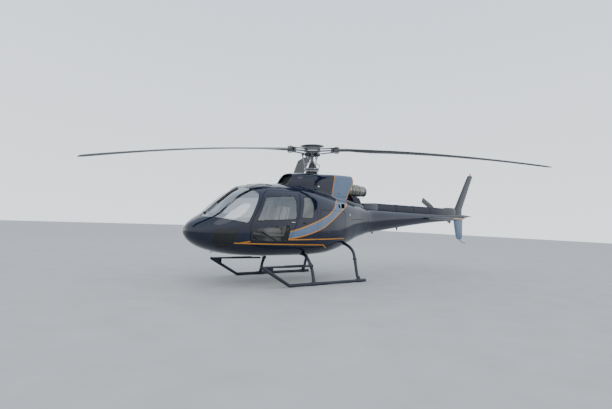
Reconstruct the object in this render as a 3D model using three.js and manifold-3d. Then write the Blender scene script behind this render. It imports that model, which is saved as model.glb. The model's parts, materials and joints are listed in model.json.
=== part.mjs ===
// Light single-engine helicopter on tall skid landing gear, parked with its
// doors shut. Millimetres, +Z up, +X to port, the nose points to -Y.
//
// Places are given from the mast: y is measured aft of the rotor mast, x to
// port of the middle plane and z up from the ground. The last lines move the
// whole object so that its origin lies under the middle of its outer box.

import * as THREE from 'three';
import { mergeVertices } from 'three/addons/utils/BufferGeometryUtils.js';
import Module from 'manifold-3d';

const wasm = await Module();
wasm.setup();

// Driving dimensions
const rotorRadius = 5345;
const tailEnd = 7580;
const hubHeight = 3200;
const wall = 45;
const contactGap = 0.3;
const glassThickness = 8;
const skidHalfTrack = 1100;
const skidRadius = 38;
const skidSides = 10;
const sill = 945;
const roofLine = 2085;

// How fast the edges of a door lean inward with depth, so that it can swing out,
// and the seam around it
const doorLean = { front: 0.4, rear: 0.9, baggage: 0.4 };
const doorSeam = { front: 10, rear: 19, baggage: 9 };

// Height of the skid tube's axis when it lies on one of its flat sides
const skidAxis = skidRadius * Math.cos(Math.PI / skidSides);

// Middle of the outer box along y and x, measured from the mast; the parked blades
// reach further to port than to starboard
const boxMiddle = (tailEnd - rotorRadius) / 2;
const boxSide = 133;

// Fuselage sections. Columns: y, lowest z, highest z, z of the widest place,
// half width there, power of the upper curve, power of the lower curve
const hullTable = [
  [-3305, 1060, 1200, 1125, 90, 2.0, 2.0],
  [-3230, 950, 1310, 1115, 260, 2.1, 2.0],
  [-3070, 835, 1420, 1105, 440, 2.3, 2.1],
  [-2850, 745, 1555, 1095, 610, 2.5, 2.2],
  [-2550, 675, 1810, 1095, 750, 2.5, 2.4],
  [-2250, 635, 2035, 1105, 840, 2.5, 2.6],
  [-1900, 615, 2190, 1115, 900, 2.5, 2.8],
  [-1500, 605, 2250, 1125, 930, 2.5, 3.0],
  [-1000, 605, 2275, 1125, 935, 2.5, 3.0],
  [-500, 605, 2250, 1145, 920, 2.6, 3.0],
  [0, 625, 2180, 1185, 870, 2.7, 2.9],
  [500, 695, 2090, 1300, 760, 2.7, 2.7],
  [1000, 835, 2000, 1440, 600, 2.6, 2.5],
  [1450, 995, 1920, 1480, 460, 2.4, 2.3],
  [1750, 1079, 1867, 1483, 392, 2.27, 2.17],
];

// Tail boom sections, same columns
const boomTable = [
  [1756, 1081, 1866, 1483, 390, 2.26, 2.16],
  [1906, 1122, 1838, 1485, 358, 2.2, 2.1],
  [2700, 1235, 1835, 1555, 300, 2.2, 2.1],
  [3900, 1395, 1830, 1620, 230, 2.1, 2.1],
  [5300, 1545, 1830, 1690, 165, 2.0, 2.0],
  [6500, 1640, 1850, 1740, 110, 2.0, 2.0],
  [6940, 1690, 1852, 1770, 82, 2.0, 2.0],
  [7050, 1725, 1845, 1785, 60, 2.0, 2.0],
  [7200, 1758, 1836, 1798, 42, 2.0, 2.0],
  [7400, 1785, 1822, 1804, 24, 2.0, 2.0],
  [7540, 1800, 1814, 1807, 8, 2.0, 2.0],
];

// Roof cowling sections, same columns
const cowlTable = [
  [-1000, 1900, 2480, 2180, 205, 3.4, 3.2],
  [-880, 1900, 2520, 2190, 235, 3.4, 3.2],
  [-700, 1900, 2562, 2210, 300, 3.4, 3.2],
  [-480, 1900, 2592, 2240, 400, 3.8, 3.2],
  [-250, 1900, 2602, 2250, 450, 4.6, 3.4],
  [0, 1850, 2606, 2250, 460, 5.6, 3.6],
  [500, 1800, 2630, 2250, 462, 6.5, 4.0],
  [900, 1800, 2640, 2250, 450, 6.5, 4.0],
  [1300, 1800, 2645, 2250, 420, 6.0, 4.0],
];

const colours = {
  navy: [0x1c2740, 0.25, 0.3],
  lightBlue: [0x7f9cc4, 0.3, 0.3],
  glass: [0x9aa7ad, 0.08, 0.0],
  tint: [0x23302c, 0.1, 0.0],
  grey: [0x8a8f93, 0.6, 0.1],
  seat: [0xb4b1a8, 0.8, 0.0],
  metal: [0x9a9ca0, 0.35, 0.9],
  hot: [0x8f8468, 0.5, 0.8],
  dark: [0x1b1d20, 0.6, 0.3],
  blade: [0x5d6266, 0.55, 0.1],
};

const model = new THREE.Group();

// Adds a named mesh with one of the colours above
function add(name, geometry, colourName, parent = model) {
  const [hex, roughness, metalness] = colours[colourName];
  const material = new THREE.MeshStandardMaterial({ color: hex, roughness, metalness });
  const mesh = new THREE.Mesh(geometry, material);
  mesh.name = name;
  parent.add(mesh);
  return mesh;
}

// Solids from closed geometries and back
function toSolid(geometry) {
  const bare = geometry.clone();
  bare.deleteAttribute('normal');
  bare.deleteAttribute('uv');
  const merged = mergeVertices(bare, 1e-3);
  return new wasm.Manifold(new wasm.Mesh({
    numProp: 3,
    vertProperties: Float32Array.from(merged.attributes.position.array),
    triVerts: Uint32Array.from(merged.index.array),
  }));
}

function toGeometry(solid) {
  const mesh = solid.getMesh();
  const geometry = new THREE.BufferGeometry();
  geometry.setAttribute('position', new THREE.BufferAttribute(mesh.vertProperties, 3));
  geometry.setIndex(new THREE.BufferAttribute(mesh.triVerts, 1));
  geometry.computeVertexNormals();
  return geometry;
}

const join = (solids) => solids.reduce((a, b) => a.add(b));
const cut = (solid, tools) => tools.reduce((a, b) => a.subtract(b), solid);

// Copy of a solid moved by a matrix; a mirrored copy keeps its faces outward
function moved(solid, matrix) {
  const geometry = toGeometry(solid);
  geometry.applyMatrix4(matrix);
  if (matrix.determinant() < 0) {
    const { array } = geometry.index;
    for (let i = 0; i < array.length; i += 3) [array[i], array[i + 1]] = [array[i + 1], array[i]];
  }
  return toSolid(geometry);
}

const mirrored = (solid) => moved(solid, new THREE.Matrix4().makeScale(-1, 1, 1));
const turned = (solid, degrees) => moved(solid,
  new THREE.Matrix4().makeRotationZ(THREE.MathUtils.degToRad(degrees)));

// The piece with most triangles of a geometry that may be in several pieces
function largest(solid) {
  const geometry = toGeometry(solid);
  const faces = geometry.index.array;
  const parent = Array.from({ length: geometry.attributes.position.count }, (_, i) => i);
  const find = (i) => {
    let root = i;
    while (parent[root] !== root) root = parent[root];
    while (parent[i] !== root) [parent[i], i] = [root, parent[i]];
    return root;
  };
  for (let i = 0; i < faces.length; i += 3) {
    parent[find(faces[i])] = find(faces[i + 1]);
    parent[find(faces[i])] = find(faces[i + 2]);
  }
  const counts = new Map();
  for (let i = 0; i < faces.length; i += 3) {
    counts.set(find(faces[i]), (counts.get(find(faces[i])) ?? 0) + 1);
  }
  const [best] = [...counts].reduce((a, b) => (a[1] >= b[1] ? a : b));
  const kept = [];
  for (let i = 0; i < faces.length; i += 3) {
    if (find(faces[i]) === best) kept.push(faces[i], faces[i + 1], faces[i + 2]);
  }
  geometry.setIndex(kept);
  return toSolid(geometry);
}

// Closed solid through rings of equal point counts, ends closed by fans
function loft(rings) {
  const n = rings[0].length;
  const positions = rings.flat(2);
  const index = [];
  rings.slice(1).forEach((_, k) => {
    for (let i = 0; i < n; i += 1) {
      const a = k * n + i;
      const b = k * n + ((i + 1) % n);
      index.push(a, b, b + n, a, b + n, a + n);
    }
  });
  const capAt = (start, flip) => {
    const ring = positions.slice(start * 3, (start + n) * 3);
    const middle = [0, 1, 2].map((axis) => {
      let sum = 0;
      for (let i = 0; i < n; i += 1) sum += ring[i * 3 + axis];
      return sum / n;
    });
    const centre = positions.length / 3;
    positions.push(...middle);
    for (let i = 0; i < n; i += 1) {
      const j = (i + 1) % n;
      if (flip) index.push(centre, start + j, start + i);
      else index.push(centre, start + i, start + j);
    }
  };
  capAt(0, true);
  capAt((rings.length - 1) * n, false);
  let volume = 0;
  const corner = (i) => new THREE.Vector3().fromArray(positions, i * 3);
  for (let i = 0; i < index.length; i += 3) {
    volume += corner(index[i]).dot(corner(index[i + 1]).cross(corner(index[i + 2])));
  }
  if (volume < 0) {
    for (let i = 0; i < index.length; i += 3) [index[i], index[i + 1]] = [index[i + 1], index[i]];
  }
  const geometry = new THREE.BufferGeometry();
  geometry.setAttribute('position', new THREE.Float32BufferAttribute(positions, 3));
  geometry.setIndex(index);
  return toSolid(geometry);
}

function box(x0, x1, y0, y1, z0, z1) {
  const geometry = new THREE.BoxGeometry(x1 - x0, y1 - y0, z1 - z0);
  geometry.translate((x0 + x1) / 2, (y0 + y1) / 2, (z0 + z1) / 2);
  return toSolid(geometry);
}

// Round bar or cone between two points
function bar(from, to, radiusFrom, radiusTo = radiusFrom, sides = 12) {
  const a = new THREE.Vector3(...from);
  const b = new THREE.Vector3(...to);
  const length = a.distanceTo(b);
  const geometry = new THREE.CylinderGeometry(radiusTo, radiusFrom, length, sides);
  const along = new THREE.Vector3().subVectors(b, a).normalize();
  const turn = new THREE.Quaternion().setFromUnitVectors(new THREE.Vector3(0, 1, 0), along);
  geometry.applyQuaternion(turn);
  const middle = new THREE.Vector3().addVectors(a, b).multiplyScalar(0.5);
  geometry.translate(middle.x, middle.y, middle.z);
  return toSolid(geometry);
}

// Round tube that follows points with rounded corners
function bentTube(points, radius, bend, sides = 10, stepLength = 60) {
  const path = new THREE.CurvePath();
  const p = points.map((q) => new THREE.Vector3(...q));
  let start = p[0];
  for (let i = 1; i < p.length - 1; i += 1) {
    const back = new THREE.Vector3().subVectors(p[i - 1], p[i]).normalize();
    const on = new THREE.Vector3().subVectors(p[i + 1], p[i]).normalize();
    const enter = p[i].clone().addScaledVector(back, bend);
    const leave = p[i].clone().addScaledVector(on, bend);
    path.add(new THREE.LineCurve3(start, enter));
    path.add(new THREE.QuadraticBezierCurve3(enter, p[i], leave));
    start = leave;
  }
  path.add(new THREE.LineCurve3(start, p[p.length - 1]));
  const circle = new THREE.Shape();
  for (let i = 0; i < sides; i += 1) {
    const angle = ((i + 0.5) / sides) * 2 * Math.PI;
    const x = radius * Math.cos(angle);
    const y = radius * Math.sin(angle);
    if (i === 0) circle.moveTo(x, y);
    else circle.lineTo(x, y);
  }
  const steps = Math.max(4, Math.round(path.getLength() / stepLength));
  return toSolid(new THREE.ExtrudeGeometry(circle, { steps, extrudePath: path, bevelEnabled: false }));
}

// Flat shape in the side plane (y, z) made thick along x
function sidePlate(points, x0, x1) {
  const ring = (x) => points.map(([y, z]) => [x, y, z]);
  return loft([ring(x0), ring(x1)]);
}

// One section of a hull: superellipse with its own power above and below
function sectionRing([y, low, high, wide, half, powerUp, powerDown], inset = 0, sides = 24) {
  const ring = [];
  for (let i = 0; i < sides; i += 1) {
    const angle = ((i + 0.5) / sides) * 2 * Math.PI;
    const c = Math.cos(angle);
    const s = Math.sin(angle);
    const power = s > 0 ? powerUp : powerDown;
    const height = s > 0 ? high - wide : wide - low;
    const x = Math.max(half - inset, 1) * Math.sign(c) * Math.abs(c) ** (2 / power);
    const z = wide + Math.max(height - inset, 1) * Math.sign(s) * Math.abs(s) ** (2 / power);
    ring.push([x, y, z]);
  }
  return ring;
}

// Row of a table at any y
function rowAt(table, y) {
  const last = table.length - 1;
  if (y <= table[0][0]) return [y, ...table[0].slice(1)];
  if (y >= table[last][0]) return [y, ...table[last].slice(1)];
  const k = table.findIndex((row) => row[0] >= y);
  const [a, b] = [table[k - 1], table[k]];
  const t = (y - a[0]) / (b[0] - a[0]);
  return a.map((value, column) => value + (b[column] - value) * t);
}

function halfWidthAt(table, y, z) {
  const [, low, high, wide, half, powerUp, powerDown] = rowAt(table, y);
  const ratio = z > wide ? (z - wide) / (high - wide) : (wide - z) / (wide - low);
  const power = z > wide ? powerUp : powerDown;
  return half * Math.max(1 - Math.min(ratio, 1) ** power, 0) ** (1 / power);
}

function hullSolid(table, inset = 0, sides = 24) {
  const rows = table.map((row, k) => {
    if (k === 0 && inset > 0 && table === hullTable) return [row[0] + inset, ...row.slice(1)];
    return row;
  });
  return loft(rows.map((row) => sectionRing(row, inset, sides)));
}

// Moves every side of a polygon inward by a distance, keeping its corners sharp
function insetPolygon(points, distance) {
  const n = points.length;
  let area = 0;
  points.forEach(([y, z], i) => {
    const [y2, z2] = points[(i + 1) % n];
    area += y * z2 - y2 * z;
  });
  const turn = Math.sign(area);
  return points.map(([y, z], i) => {
    const a = points[(i + n - 1) % n];
    const b = points[(i + 1) % n];
    const d1 = [y - a[0], z - a[1]];
    const d2 = [b[0] - y, b[1] - z];
    const l1 = Math.hypot(...d1);
    const l2 = Math.hypot(...d2);
    const sum = [-d1[1] / l1 - d2[1] / l2, d1[0] / l1 + d2[0] / l2];
    const scale = (2 * turn * distance) / (sum[0] ** 2 + sum[1] ** 2);
    return [y + sum[0] * scale, z + sum[1] * scale];
  });
}

// Outline with round corners, from corners given as [y, z, corner radius],
// moved inward by a distance. Point counts don't depend on the distance.
const cornerSteps = 3;
const longestSide = 300;

function outlineOf(corners, inset = 0) {
  const sharp = insetPolygon(corners, inset);
  const n = corners.length;
  const direction = (i) => {
    const [a, b] = [corners[(i + n) % n], corners[(i + 1) % n]];
    return Math.atan2(b[1] - a[1], b[0] - a[0]);
  };
  const roundingAt = (i) => {
    if (corners[i][2] === 0) return 0;
    const turn = Math.abs(direction(i) - direction(i - 1)) % (2 * Math.PI);
    const bend = Math.min(turn, 2 * Math.PI - turn);
    return Math.max(corners[i][2] - inset * Math.tan(bend / 2), 4);
  };
  const out = [];
  sharp.forEach(([y, z], i) => {
    const radius = roundingAt(i);
    const reach = (q) => Math.min(radius, Math.hypot(q[0] - y, q[1] - z) * 0.45);
    const toward = (q, step) => {
      const length = Math.hypot(q[0] - y, q[1] - z);
      return [y + ((q[0] - y) / length) * step, z + ((q[1] - z) / length) * step];
    };
    const before = sharp[(i + n - 1) % n];
    const after = sharp[(i + 1) % n];
    const a = toward(before, reach(before));
    const b = toward(after, reach(after));
    const steps = corners[i][2] > 0 ? cornerSteps : 0;
    for (let k = 0; k <= steps; k += 1) {
      const t = steps > 0 ? k / steps : 0;
      const u = 1 - t;
      out.push([
        u * u * a[0] + 2 * u * t * y + t * t * b[0],
        u * u * a[1] + 2 * u * t * z + t * t * b[1],
      ]);
    }
    const next = corners[(i + 1) % n];
    const parts = Math.ceil(Math.hypot(next[0] - corners[i][0], next[1] - corners[i][1]) / longestSide);
    const length = Math.hypot(after[0] - y, after[1] - z);
    const nextReach = Math.min(roundingAt((i + 1) % n), length * 0.45);
    const far = toward(after, length - nextReach);
    for (let k = 1; k < parts; k += 1) {
      out.push([b[0] + ((far[0] - b[0]) * k) / parts, b[1] + ((far[1] - b[1]) * k) / parts]);
    }
  });
  return out;
}

// Cutter through the port skin. It passes the skin on the outline and gets
// narrower inward by the taper, so that a panel cut with it can swing out.
function skinPlug(corners, grow = 0, taper = 0, outward = 110, inward = 110) {
  const onSkin = outlineOf(corners);
  const ring = (depth) => outlineOf(corners, taper * depth - grow)
    .map(([y, z], i) => [halfWidthAt(hullTable, ...onSkin[i]) - depth, y, z]);
  return loft([ring(-outward), ring(inward)]);
}

// Cabin outlines on the port side, as [y, z, corner radius]
const frontDoor = [
  [-2250, sill, 70], [-2262, 1330, 260], [-1850, 1990, 90], [-1690, roofLine, 80],
  [-885, roofLine, 90], [-1075, 1480, 200], [-1335, sill, 70],
];
const frontDoorWindow = [
  [-2125, 1385, 60], [-1820, 1925, 90], [-1035, 1985, 110], [-1115, 1455, 70],
];
const frontDoorPane = [
  [-2205, 975, 60], [-2202, 1232, 70], [-1300, 1325, 50], [-1352, 975, 60],
];
const rearDoor = [
  [-1323, sill, 170], [-1063, 1480, 200], [-873, roofLine, 140], [-500, 2070, 140], [-480, sill, 120],
];
const rearDoorWindow = [
  [-985, 1485, 50], [-800, 1975, 70], [-590, 1975, 80], [-570, 1790, 40], [-640, 1495, 50],
];
const baggageDoor = [
  [-400, 1030, 60], [-400, 1700, 50], [520, 1700, 50], [560, 1120, 60],
];
const chinWindow = [
  [-2960, 1140, 40], [-2880, 1205, 60], [-2480, 1212, 70], [-2570, 860, 130], [-2790, 800, 90],
  [-2930, 900, 60],
];

const hullOuter = hullSolid(hullTable);
const hullInner = hullSolid(hullTable, wall);
const hullShell = hullOuter.subtract(hullInner);
const glassShell = hullSolid(hullTable, 10).subtract(hullSolid(hullTable, 10 + glassThickness));

// Roof window ahead of the mast, seen from above: half width and y limits
const roofWindow = { inner: 60, outer: 430, front: -1960, back: -1560 };
const postHalfWidth = 45;

function upperCutter(side) {
  return sidePlate([[-3400, 1446], [-2880, 1432], [-2450, 1362], [-2300, 1338], [-1930, 1985],
    [-2030, 2080], [-2250, 2400], [-3400, 2400]], side * postHalfWidth, side * 1000);
}

function roofCutter(side, grow = 0) {
  const { inner, outer, front, back } = roofWindow;
  const xs = [side * (inner - grow), side * (outer + grow)].sort((a, b) => a - b);
  return box(xs[0], xs[1], front - grow, back + grow, 2050, 2400);
}

function buildCabin() {
  const bothSides = (corners, grow = 0, taper = 0) => {
    const port = skinPlug(corners, grow, taper);
    return port.add(mirrored(port));
  };
  const windshields = upperCutter(1).add(upperCutter(-1));
  const chins = bothSides(chinWindow);
  const doors = bothSides(frontDoor, 0, doorLean.front).add(bothSides(rearDoor, 0, doorLean.rear));
  const baggage = bothSides(baggageDoor, 0, doorLean.baggage);
  const roofs = roofCutter(1).add(roofCutter(-1));

  const half = contactGap / 2;
  const beltY = [-3400, 560];
  const noseZone = sidePlate([[-3400, 400], [-2256, 400], [-2256, 1338], [-2300, 1338 - half],
    [-2450, 1362 - half], [-2880, 1432 - half], [-3400, 1446 - half]], -1100, 1100);
  const bellyZone = box(-1100, 1100, -2256 + contactGap, beltY[1], 400, sill - half);
  const rearZone = join([
    box(-1100, 1100, -470, beltY[1] + 10, sill + half, 2400),
    box(-1100, 1100, beltY[1] + contactGap, 1900, 400, 2400),
  ]);

  const nose = cut(hullShell.intersect(noseZone), [windshields, chins, doors]);
  const belly = cut(hullShell.intersect(bellyZone), [doors, baggage]);
  const rear = cut(hullShell.intersect(rearZone), [doors, baggage]);
  const canopyZone = cut(box(-1100, 1100, -3400, -470 - contactGap, sill + half, 2400), [
    sidePlate([[-3400, 400], [-2256 + contactGap, 400], [-2256 + contactGap, 1338],
      [-2300, 1338 + half], [-2450, 1362 + half], [-2880, 1432 + half],
      [-3400, 1446 + half]], -1100, 1100),
  ]);
  const canopy = cut(hullShell.intersect(canopyZone), [windshields, doors, roofs]);
  return { nose, belly, rear, canopy };
}

const cabin = buildCabin();

// Cross tubes: arches of round tube in planes of constant y.
// Columns: name, y, x and z along the port half from the middle to the skid
const crossTubes = [
  ['front_cross_tube', -697, [[0, 668], [640, 668], [830, 590], [955, 430], [1030, 260],
    [1088, 60]]],
  ['rear_cross_tube', 721, [[0, 890], [540, 890], [760, 818], [890, 670], [950, 450],
    [1088, 60]]],
];
const crossTubeRadius = 36;

function archTube(y, half, radius) {
  const port = half.slice(1).map(([x, z]) => [x, y, z]);
  const starboard = port.map(([x, , z]) => [-x, y, z]).reverse();
  return bentTube([...starboard, ...port], radius, 90, 8, 150);
}

const tubePassages = crossTubes.map(([, y, half]) => archTube(y, half, crossTubeRadius + contactGap));

// Skid: a straight tube with its front end turned up, a step bar from the tip
// back to the front leg, and a plate that joins them near the tip
const skid = { bend: -1397, rear: 924, tip: -2140, tipHeight: 458, step: 440 };
const tipPlate = [[-2070, 440], [-1835, 440], [-1835, 286], [-2070, 418]];

function skidTube(x, radius) {
  const points = [[x, skid.rear, skidAxis], [x, skid.bend, skidAxis], [x, skid.tip, skid.tipHeight]];
  return bentTube(points, radius, 110, skidSides, 220);
}

function skidSolid(side) {
  const x = side * skidHalfTrack;
  const tube = skidTube(x, skidRadius);
  const step = box(x - 28, x + 28, skid.tip - 20, -697 - crossTubeRadius - 70, skid.step - 26, skid.step + 26);
  return join([tube, step, sidePlate(tipPlate, x - 12, x + 12)]);
}

function addCabin() {
  const leaves = (name) => {
    const { frame } = hinges.get(name);
    return frame.add(mirrored(frame));
  };
  add('nose_shell', toGeometry(largest(cabin.nose.add(leaves('front_door')))), 'navy');
  const belly = cut(cabin.belly, [tubePassages[0]]);
  add('belly_shell', toGeometry(largest(belly)), 'navy');
  const rear = cut(cabin.rear, [tubePassages[1]]);
  const rearLeaves = leaves('rear_door').add(leaves('baggage_door'));
  add('rear_body_shell', toGeometry(largest(rear.add(rearLeaves))), 'navy');
  add('canopy_frame', toGeometry(largest(cabin.canopy)), 'navy');
}

function addGlass() {
  for (const [word, side] of [['left', 1], ['right', -1]]) {
    const flip = (solid) => (side > 0 ? solid : mirrored(solid));
    const g = contactGap;
    const windshield = glassShell.intersect(sidePlate([[-3400, 1446 + 4 * g], [-2880, 1432 + 4 * g],
      [-2450, 1362 + 4 * g], [-2302, 1338 + 6 * g], [-1930 - 6 * g, 1983], [-2032, 2080],
      [-2252, 2400], [-3400, 2400]], postHalfWidth + g, 1000));
    add(`windshield_${word}`, toGeometry(largest(flip(windshield))), 'glass');
    const roof = glassShell.intersect(roofCutter(1, -g));
    add(`roof_window_${word}`, toGeometry(largest(flip(roof))), 'tint');
    const chin = glassShell.intersect(skinPlug(chinWindow, -g));
    add(`chin_window_${word}`, toGeometry(largest(flip(chin))), 'glass');
  }
}

// Door hinges outside the skin. Each has a leaf on the frame and one on the door,
// end to end on one pin. Depth is how far a leaf's foot goes into its panel.
const hinge = { radius: 10, height: 30, doorDepth: 42 };
const baggageHinge = { x: 822, z: 1705, slope: 0.162 };

// Leaves on the port side: the pin is the z axis of the frame given by a matrix,
// and the door lies on its -y or +y side, as doorSide says
function hingeLeaves(matrix, doorSide, reach, frameDepth) {
  const { radius, height, doorDepth } = hinge;
  const leaf = (side, depth, low) => {
    const span = (from, to) => [side * from, side * to].sort((a, b) => a - b);
    return moved(join([
      bar([0, 0, low], [0, 0, low + height], radius),
      box(-radius, radius, ...span(0, reach), low, low + height),
      box(-depth, radius, ...span(reach * 0.7, reach), low, low + height),
    ]), matrix);
  };
  return {
    door: leaf(doorSide, doorDepth, contactGap),
    frame: leaf(-doorSide, frameDepth, -height),
  };
}

function makeHinges() {
  const upright = (x, y) => (z) => new THREE.Matrix4().makeTranslation(x, y, z);
  const along = (y) => {
    const angle = Math.atan(baggageHinge.slope);
    const outward = new THREE.Vector3(Math.cos(angle), Math.sin(angle), 0);
    const up = new THREE.Vector3(0, 0, 1);
    return new THREE.Matrix4().makeBasis(outward, up, outward.clone().cross(up))
      .setPosition(baggageHinge.x - baggageHinge.slope * y, y, baggageHinge.z);
  };
  // Columns: door, side of the door from its pin, reach of a leaf, depth of the
  // frame's foot, frame of a pin, places of the pins
  const rows = [
    ['front_door', 1, 50, 60, upright(856, -2262), [1045, 1235]],
    ['rear_door', -1, 80, 60, upright(933, -474), [1065, 1415]],
    ['baggage_door', -1, 80, 80, along, [-250, 350]],
  ];
  return new Map(rows.map(([name, side, reach, depth, frameOf, places]) => {
    const pairs = places.map((place) => hingeLeaves(frameOf(place), side, reach, depth));
    return [name, { door: join(pairs.map((p) => p.door)), frame: join(pairs.map((p) => p.frame)) }];
  }));
}

const hinges = makeHinges();

// Doors. Columns: name, outline, taper, seam, glass cut in it as [name, outline]
const doorTable = [
  ['front_door', frontDoor, doorLean.front, doorSeam.front,
    [['front_door_window', frontDoorWindow], ['front_door_pane', frontDoorPane]]],
  ['rear_door', rearDoor, doorLean.rear, doorSeam.rear, [['rear_door_window', rearDoorWindow]]],
  ['baggage_door', baggageDoor, doorLean.baggage, doorSeam.baggage, []],
];

function addDoors() {
  for (const [name, outline, lean, gap, panes] of doorTable) {
    const panel = hullShell.intersect(skinPlug(outline, -gap, lean));
    const holes = panes.map(([, pane]) => skinPlug(pane));
    const door = largest(cut(panel, holes)).add(hinges.get(name).door);
    for (const [word, side] of [['left', 1], ['right', -1]]) {
      const flip = (solid) => (side > 0 ? solid : mirrored(solid));
      add(`${word}_${name}`, toGeometry(largest(flip(door))), 'navy');
      for (const [paneName, pane] of panes) {
        const glass = glassShell.intersect(skinPlug(pane, -contactGap));
        add(`${word}_${paneName}`, toGeometry(largest(flip(glass))), 'glass');
      }
    }
  }
}

// Cabin inside: floor with the wall behind the rear bench, seats, instrument panel
const floorTop = 880;
const floorThickness = 20;
const bulkhead = { front: -440, back: -415 };

function addInterior() {
  const room = hullSolid(hullTable, wall + contactGap);
  const floor = box(-1000, 1000, -2750, bulkhead.back, floorTop - floorThickness, floorTop);
  const back = box(-1000, 1000, bulkhead.front, bulkhead.back, floorTop - floorThickness, 2160);
  add('cabin_floor', toGeometry(largest(floor.add(back).intersect(room))), 'grey');

  const base = floorTop + contactGap;
  for (const [word, side] of [['left', 1], ['right', -1]]) {
    const x = side * 420;
    const seat = join([
      box(x - 150, x + 150, -1700, -1350, base, 1110),
      box(x - 250, x + 250, -1800, -1290, 1100, 1240),
      sidePlate([[-1390, 1150], [-1270, 1150], [-1130, 1790], [-1230, 1790]], x - 240, x + 240),
    ]);
    add(`front_seat_${word}`, toGeometry(seat), 'seat');
  }
  const bench = join([
    box(-700, 700, -930, -520, base, 1110),
    box(-760, 760, -980, -480, 1100, 1230),
    sidePlate([[-560, 1150], [-450, 1150], [-450, 1760], [-520, 1760]], -760, 760),
  ]);
  add('rear_bench', toGeometry(bench), 'seat');
  const console = join([
    box(-110, 110, -2600, -1950, base, 1080),
    sidePlate([[-2640, base], [-2480, base], [-2330, 1230], [-2350, 1440], [-2560, 1440], [-2640, 1200]],
      -330, 330),
  ]);
  add('instrument_console', toGeometry(console.intersect(room)), 'dark');
}

// Mast leans forward a little; the rotor turns about this line
const mastTilt = THREE.MathUtils.degToRad(1.9);
const mastPoint = (distance) => [0, -distance * Math.sin(mastTilt), distance * Math.cos(mastTilt)];
const hub = [0, 0, hubHeight];
const alongMast = (below) => {
  const [, y, z] = mastPoint(-below);
  return [0, hub[1] + y, hub[2] + z];
};

const cowlMouth = [[-930, 2240], [-742, 2530]];
const cowlSplit = [[265, 1900], [441, 2900]];
const cowlWall = 22;
const mastHole = 175;

function addCowlings() {
  const body = hullSolid(hullTable, -contactGap);
  const outer = hullSolid(cowlTable);
  const innerRows = cowlTable.map((row, k) => {
    if (k === 0) return [row[0] - 60, ...row.slice(1)];
    if (k === cowlTable.length - 1) return [row[0] + 60, ...row.slice(1)];
    return row;
  });
  const inner = loft(innerRows.map((row) => sectionRing(row, cowlWall)));
  const below = box(-700, 700, -1500, 1500, 1700, 1960);
  const [low, top] = cowlMouth;
  const alongMouth = (k) => low.map((v, i) => v + k * (top[i] - v));
  const aboveMouth = alongMouth(1.2);
  const ahead = sidePlate([[-1600, 1700], alongMouth(-1.15), aboveMouth, [aboveMouth[0], 2900],
    [-1600, 2900]], -700, 700);
  const behind = sidePlate([[660, 1700], [800, 1970], [905, 2163], [1005, 2315], [1065, 2430],
    [1065, 2500], [1030, 2620], [1020, 2700], [1600, 2700], [1600, 1700]], -700, 700);
  const mast = bar([0, 10, 2400], [0, -10, 2800], mastHole, mastHole, 20);
  const cowl = cut(outer, [inner, body, below, ahead, behind, mast]);
  const [splitLow, splitTop] = cowlSplit;
  const front = cowl.intersect(sidePlate([splitLow, splitTop, [-1500, 2900], [-1500, 1900]], -700, 700));
  const rear = cowl.intersect(sidePlate([[splitLow[0] + contactGap, splitLow[1]],
    [splitTop[0] + contactGap, splitTop[1]], [1500, 2900], [1500, 1900]], -700, 700));
  add('gearbox_cowling', toGeometry(largest(front)), 'navy');
  add('engine_cowling', toGeometry(largest(rear)), 'lightBlue');

  const gearbox = cut(join([
    bar([0, 0, 2050], [0, 0, 2480], 240, 240, 20),
    bar([0, 0, 2470], alongMast(440), 150, 95, 20),
    bar(alongMast(441), alongMast(300), 95, 60, 16),
  ]), [body]);
  add('main_gearbox', toGeometry(largest(gearbox)), 'metal');
  const engine = cut(bar([0, 245, 2300], [0, 930, 2300], 230, 230, 16), [body]);
  add('engine_block', toGeometry(largest(engine)), 'metal');
}

const nozzle = { root: [0, 931.2, 2306], tip: [0, 1900, 2302], rootRadius: 178, tipRadius: 140, thick: 15 };

const nozzleOuter = (grow) => bar(nozzle.root, nozzle.tip, nozzle.rootRadius + grow,
  nozzle.tipRadius + grow, 24);

function addExhaust() {
  const { root, tip, rootRadius, tipRadius, thick } = nozzle;
  const bore = [[0, root[1] + 28, root[2]], [0, tip[1] + 40, tip[2]]];
  const inner = bar(...bore, rootRadius - thick, tipRadius - thick, 24);
  add('exhaust_nozzle', toGeometry(nozzleOuter(0).subtract(inner)), 'hot');
}

// Tail boom: a tapering tube, open at its front and solid in its tail cone, with
// a cover along its top that rises at its front end to carry the exhaust
const boomWall = 8;
const boomHollowEnd = 6900;
const cover = { front: 1850, step: 2435, back: 5760, half: 95 };
const coverRise = [[1335, 2172], [1665, 2103], [1800, 1888], [1860, 1888], [1860, 1700], [1665, 1700]];

// Tailplane: one piece that passes through the boom. Columns: x, y of the
// leading and trailing edge, half thickness
const stabiliserHeight = 1660;
const stabiliserRows = [
  [-1265, 4570, 5120, 8], [-1240, 4540, 5150, 22], [-300, 4540, 5150, 26],
  [300, 4540, 5150, 26], [1240, 4540, 5150, 22], [1265, 4570, 5120, 8],
];

function stabiliserSolid(grow) {
  return loft(stabiliserRows.map(([x, front, back, half]) => [
    [x, front - grow, stabiliserHeight],
    [x, front + 160, stabiliserHeight + half + grow],
    [x, back + grow, stabiliserHeight + 4 + grow],
    [x, back + grow, stabiliserHeight - 4 - grow],
    [x, front + 160, stabiliserHeight - half - grow],
  ]));
}

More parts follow.
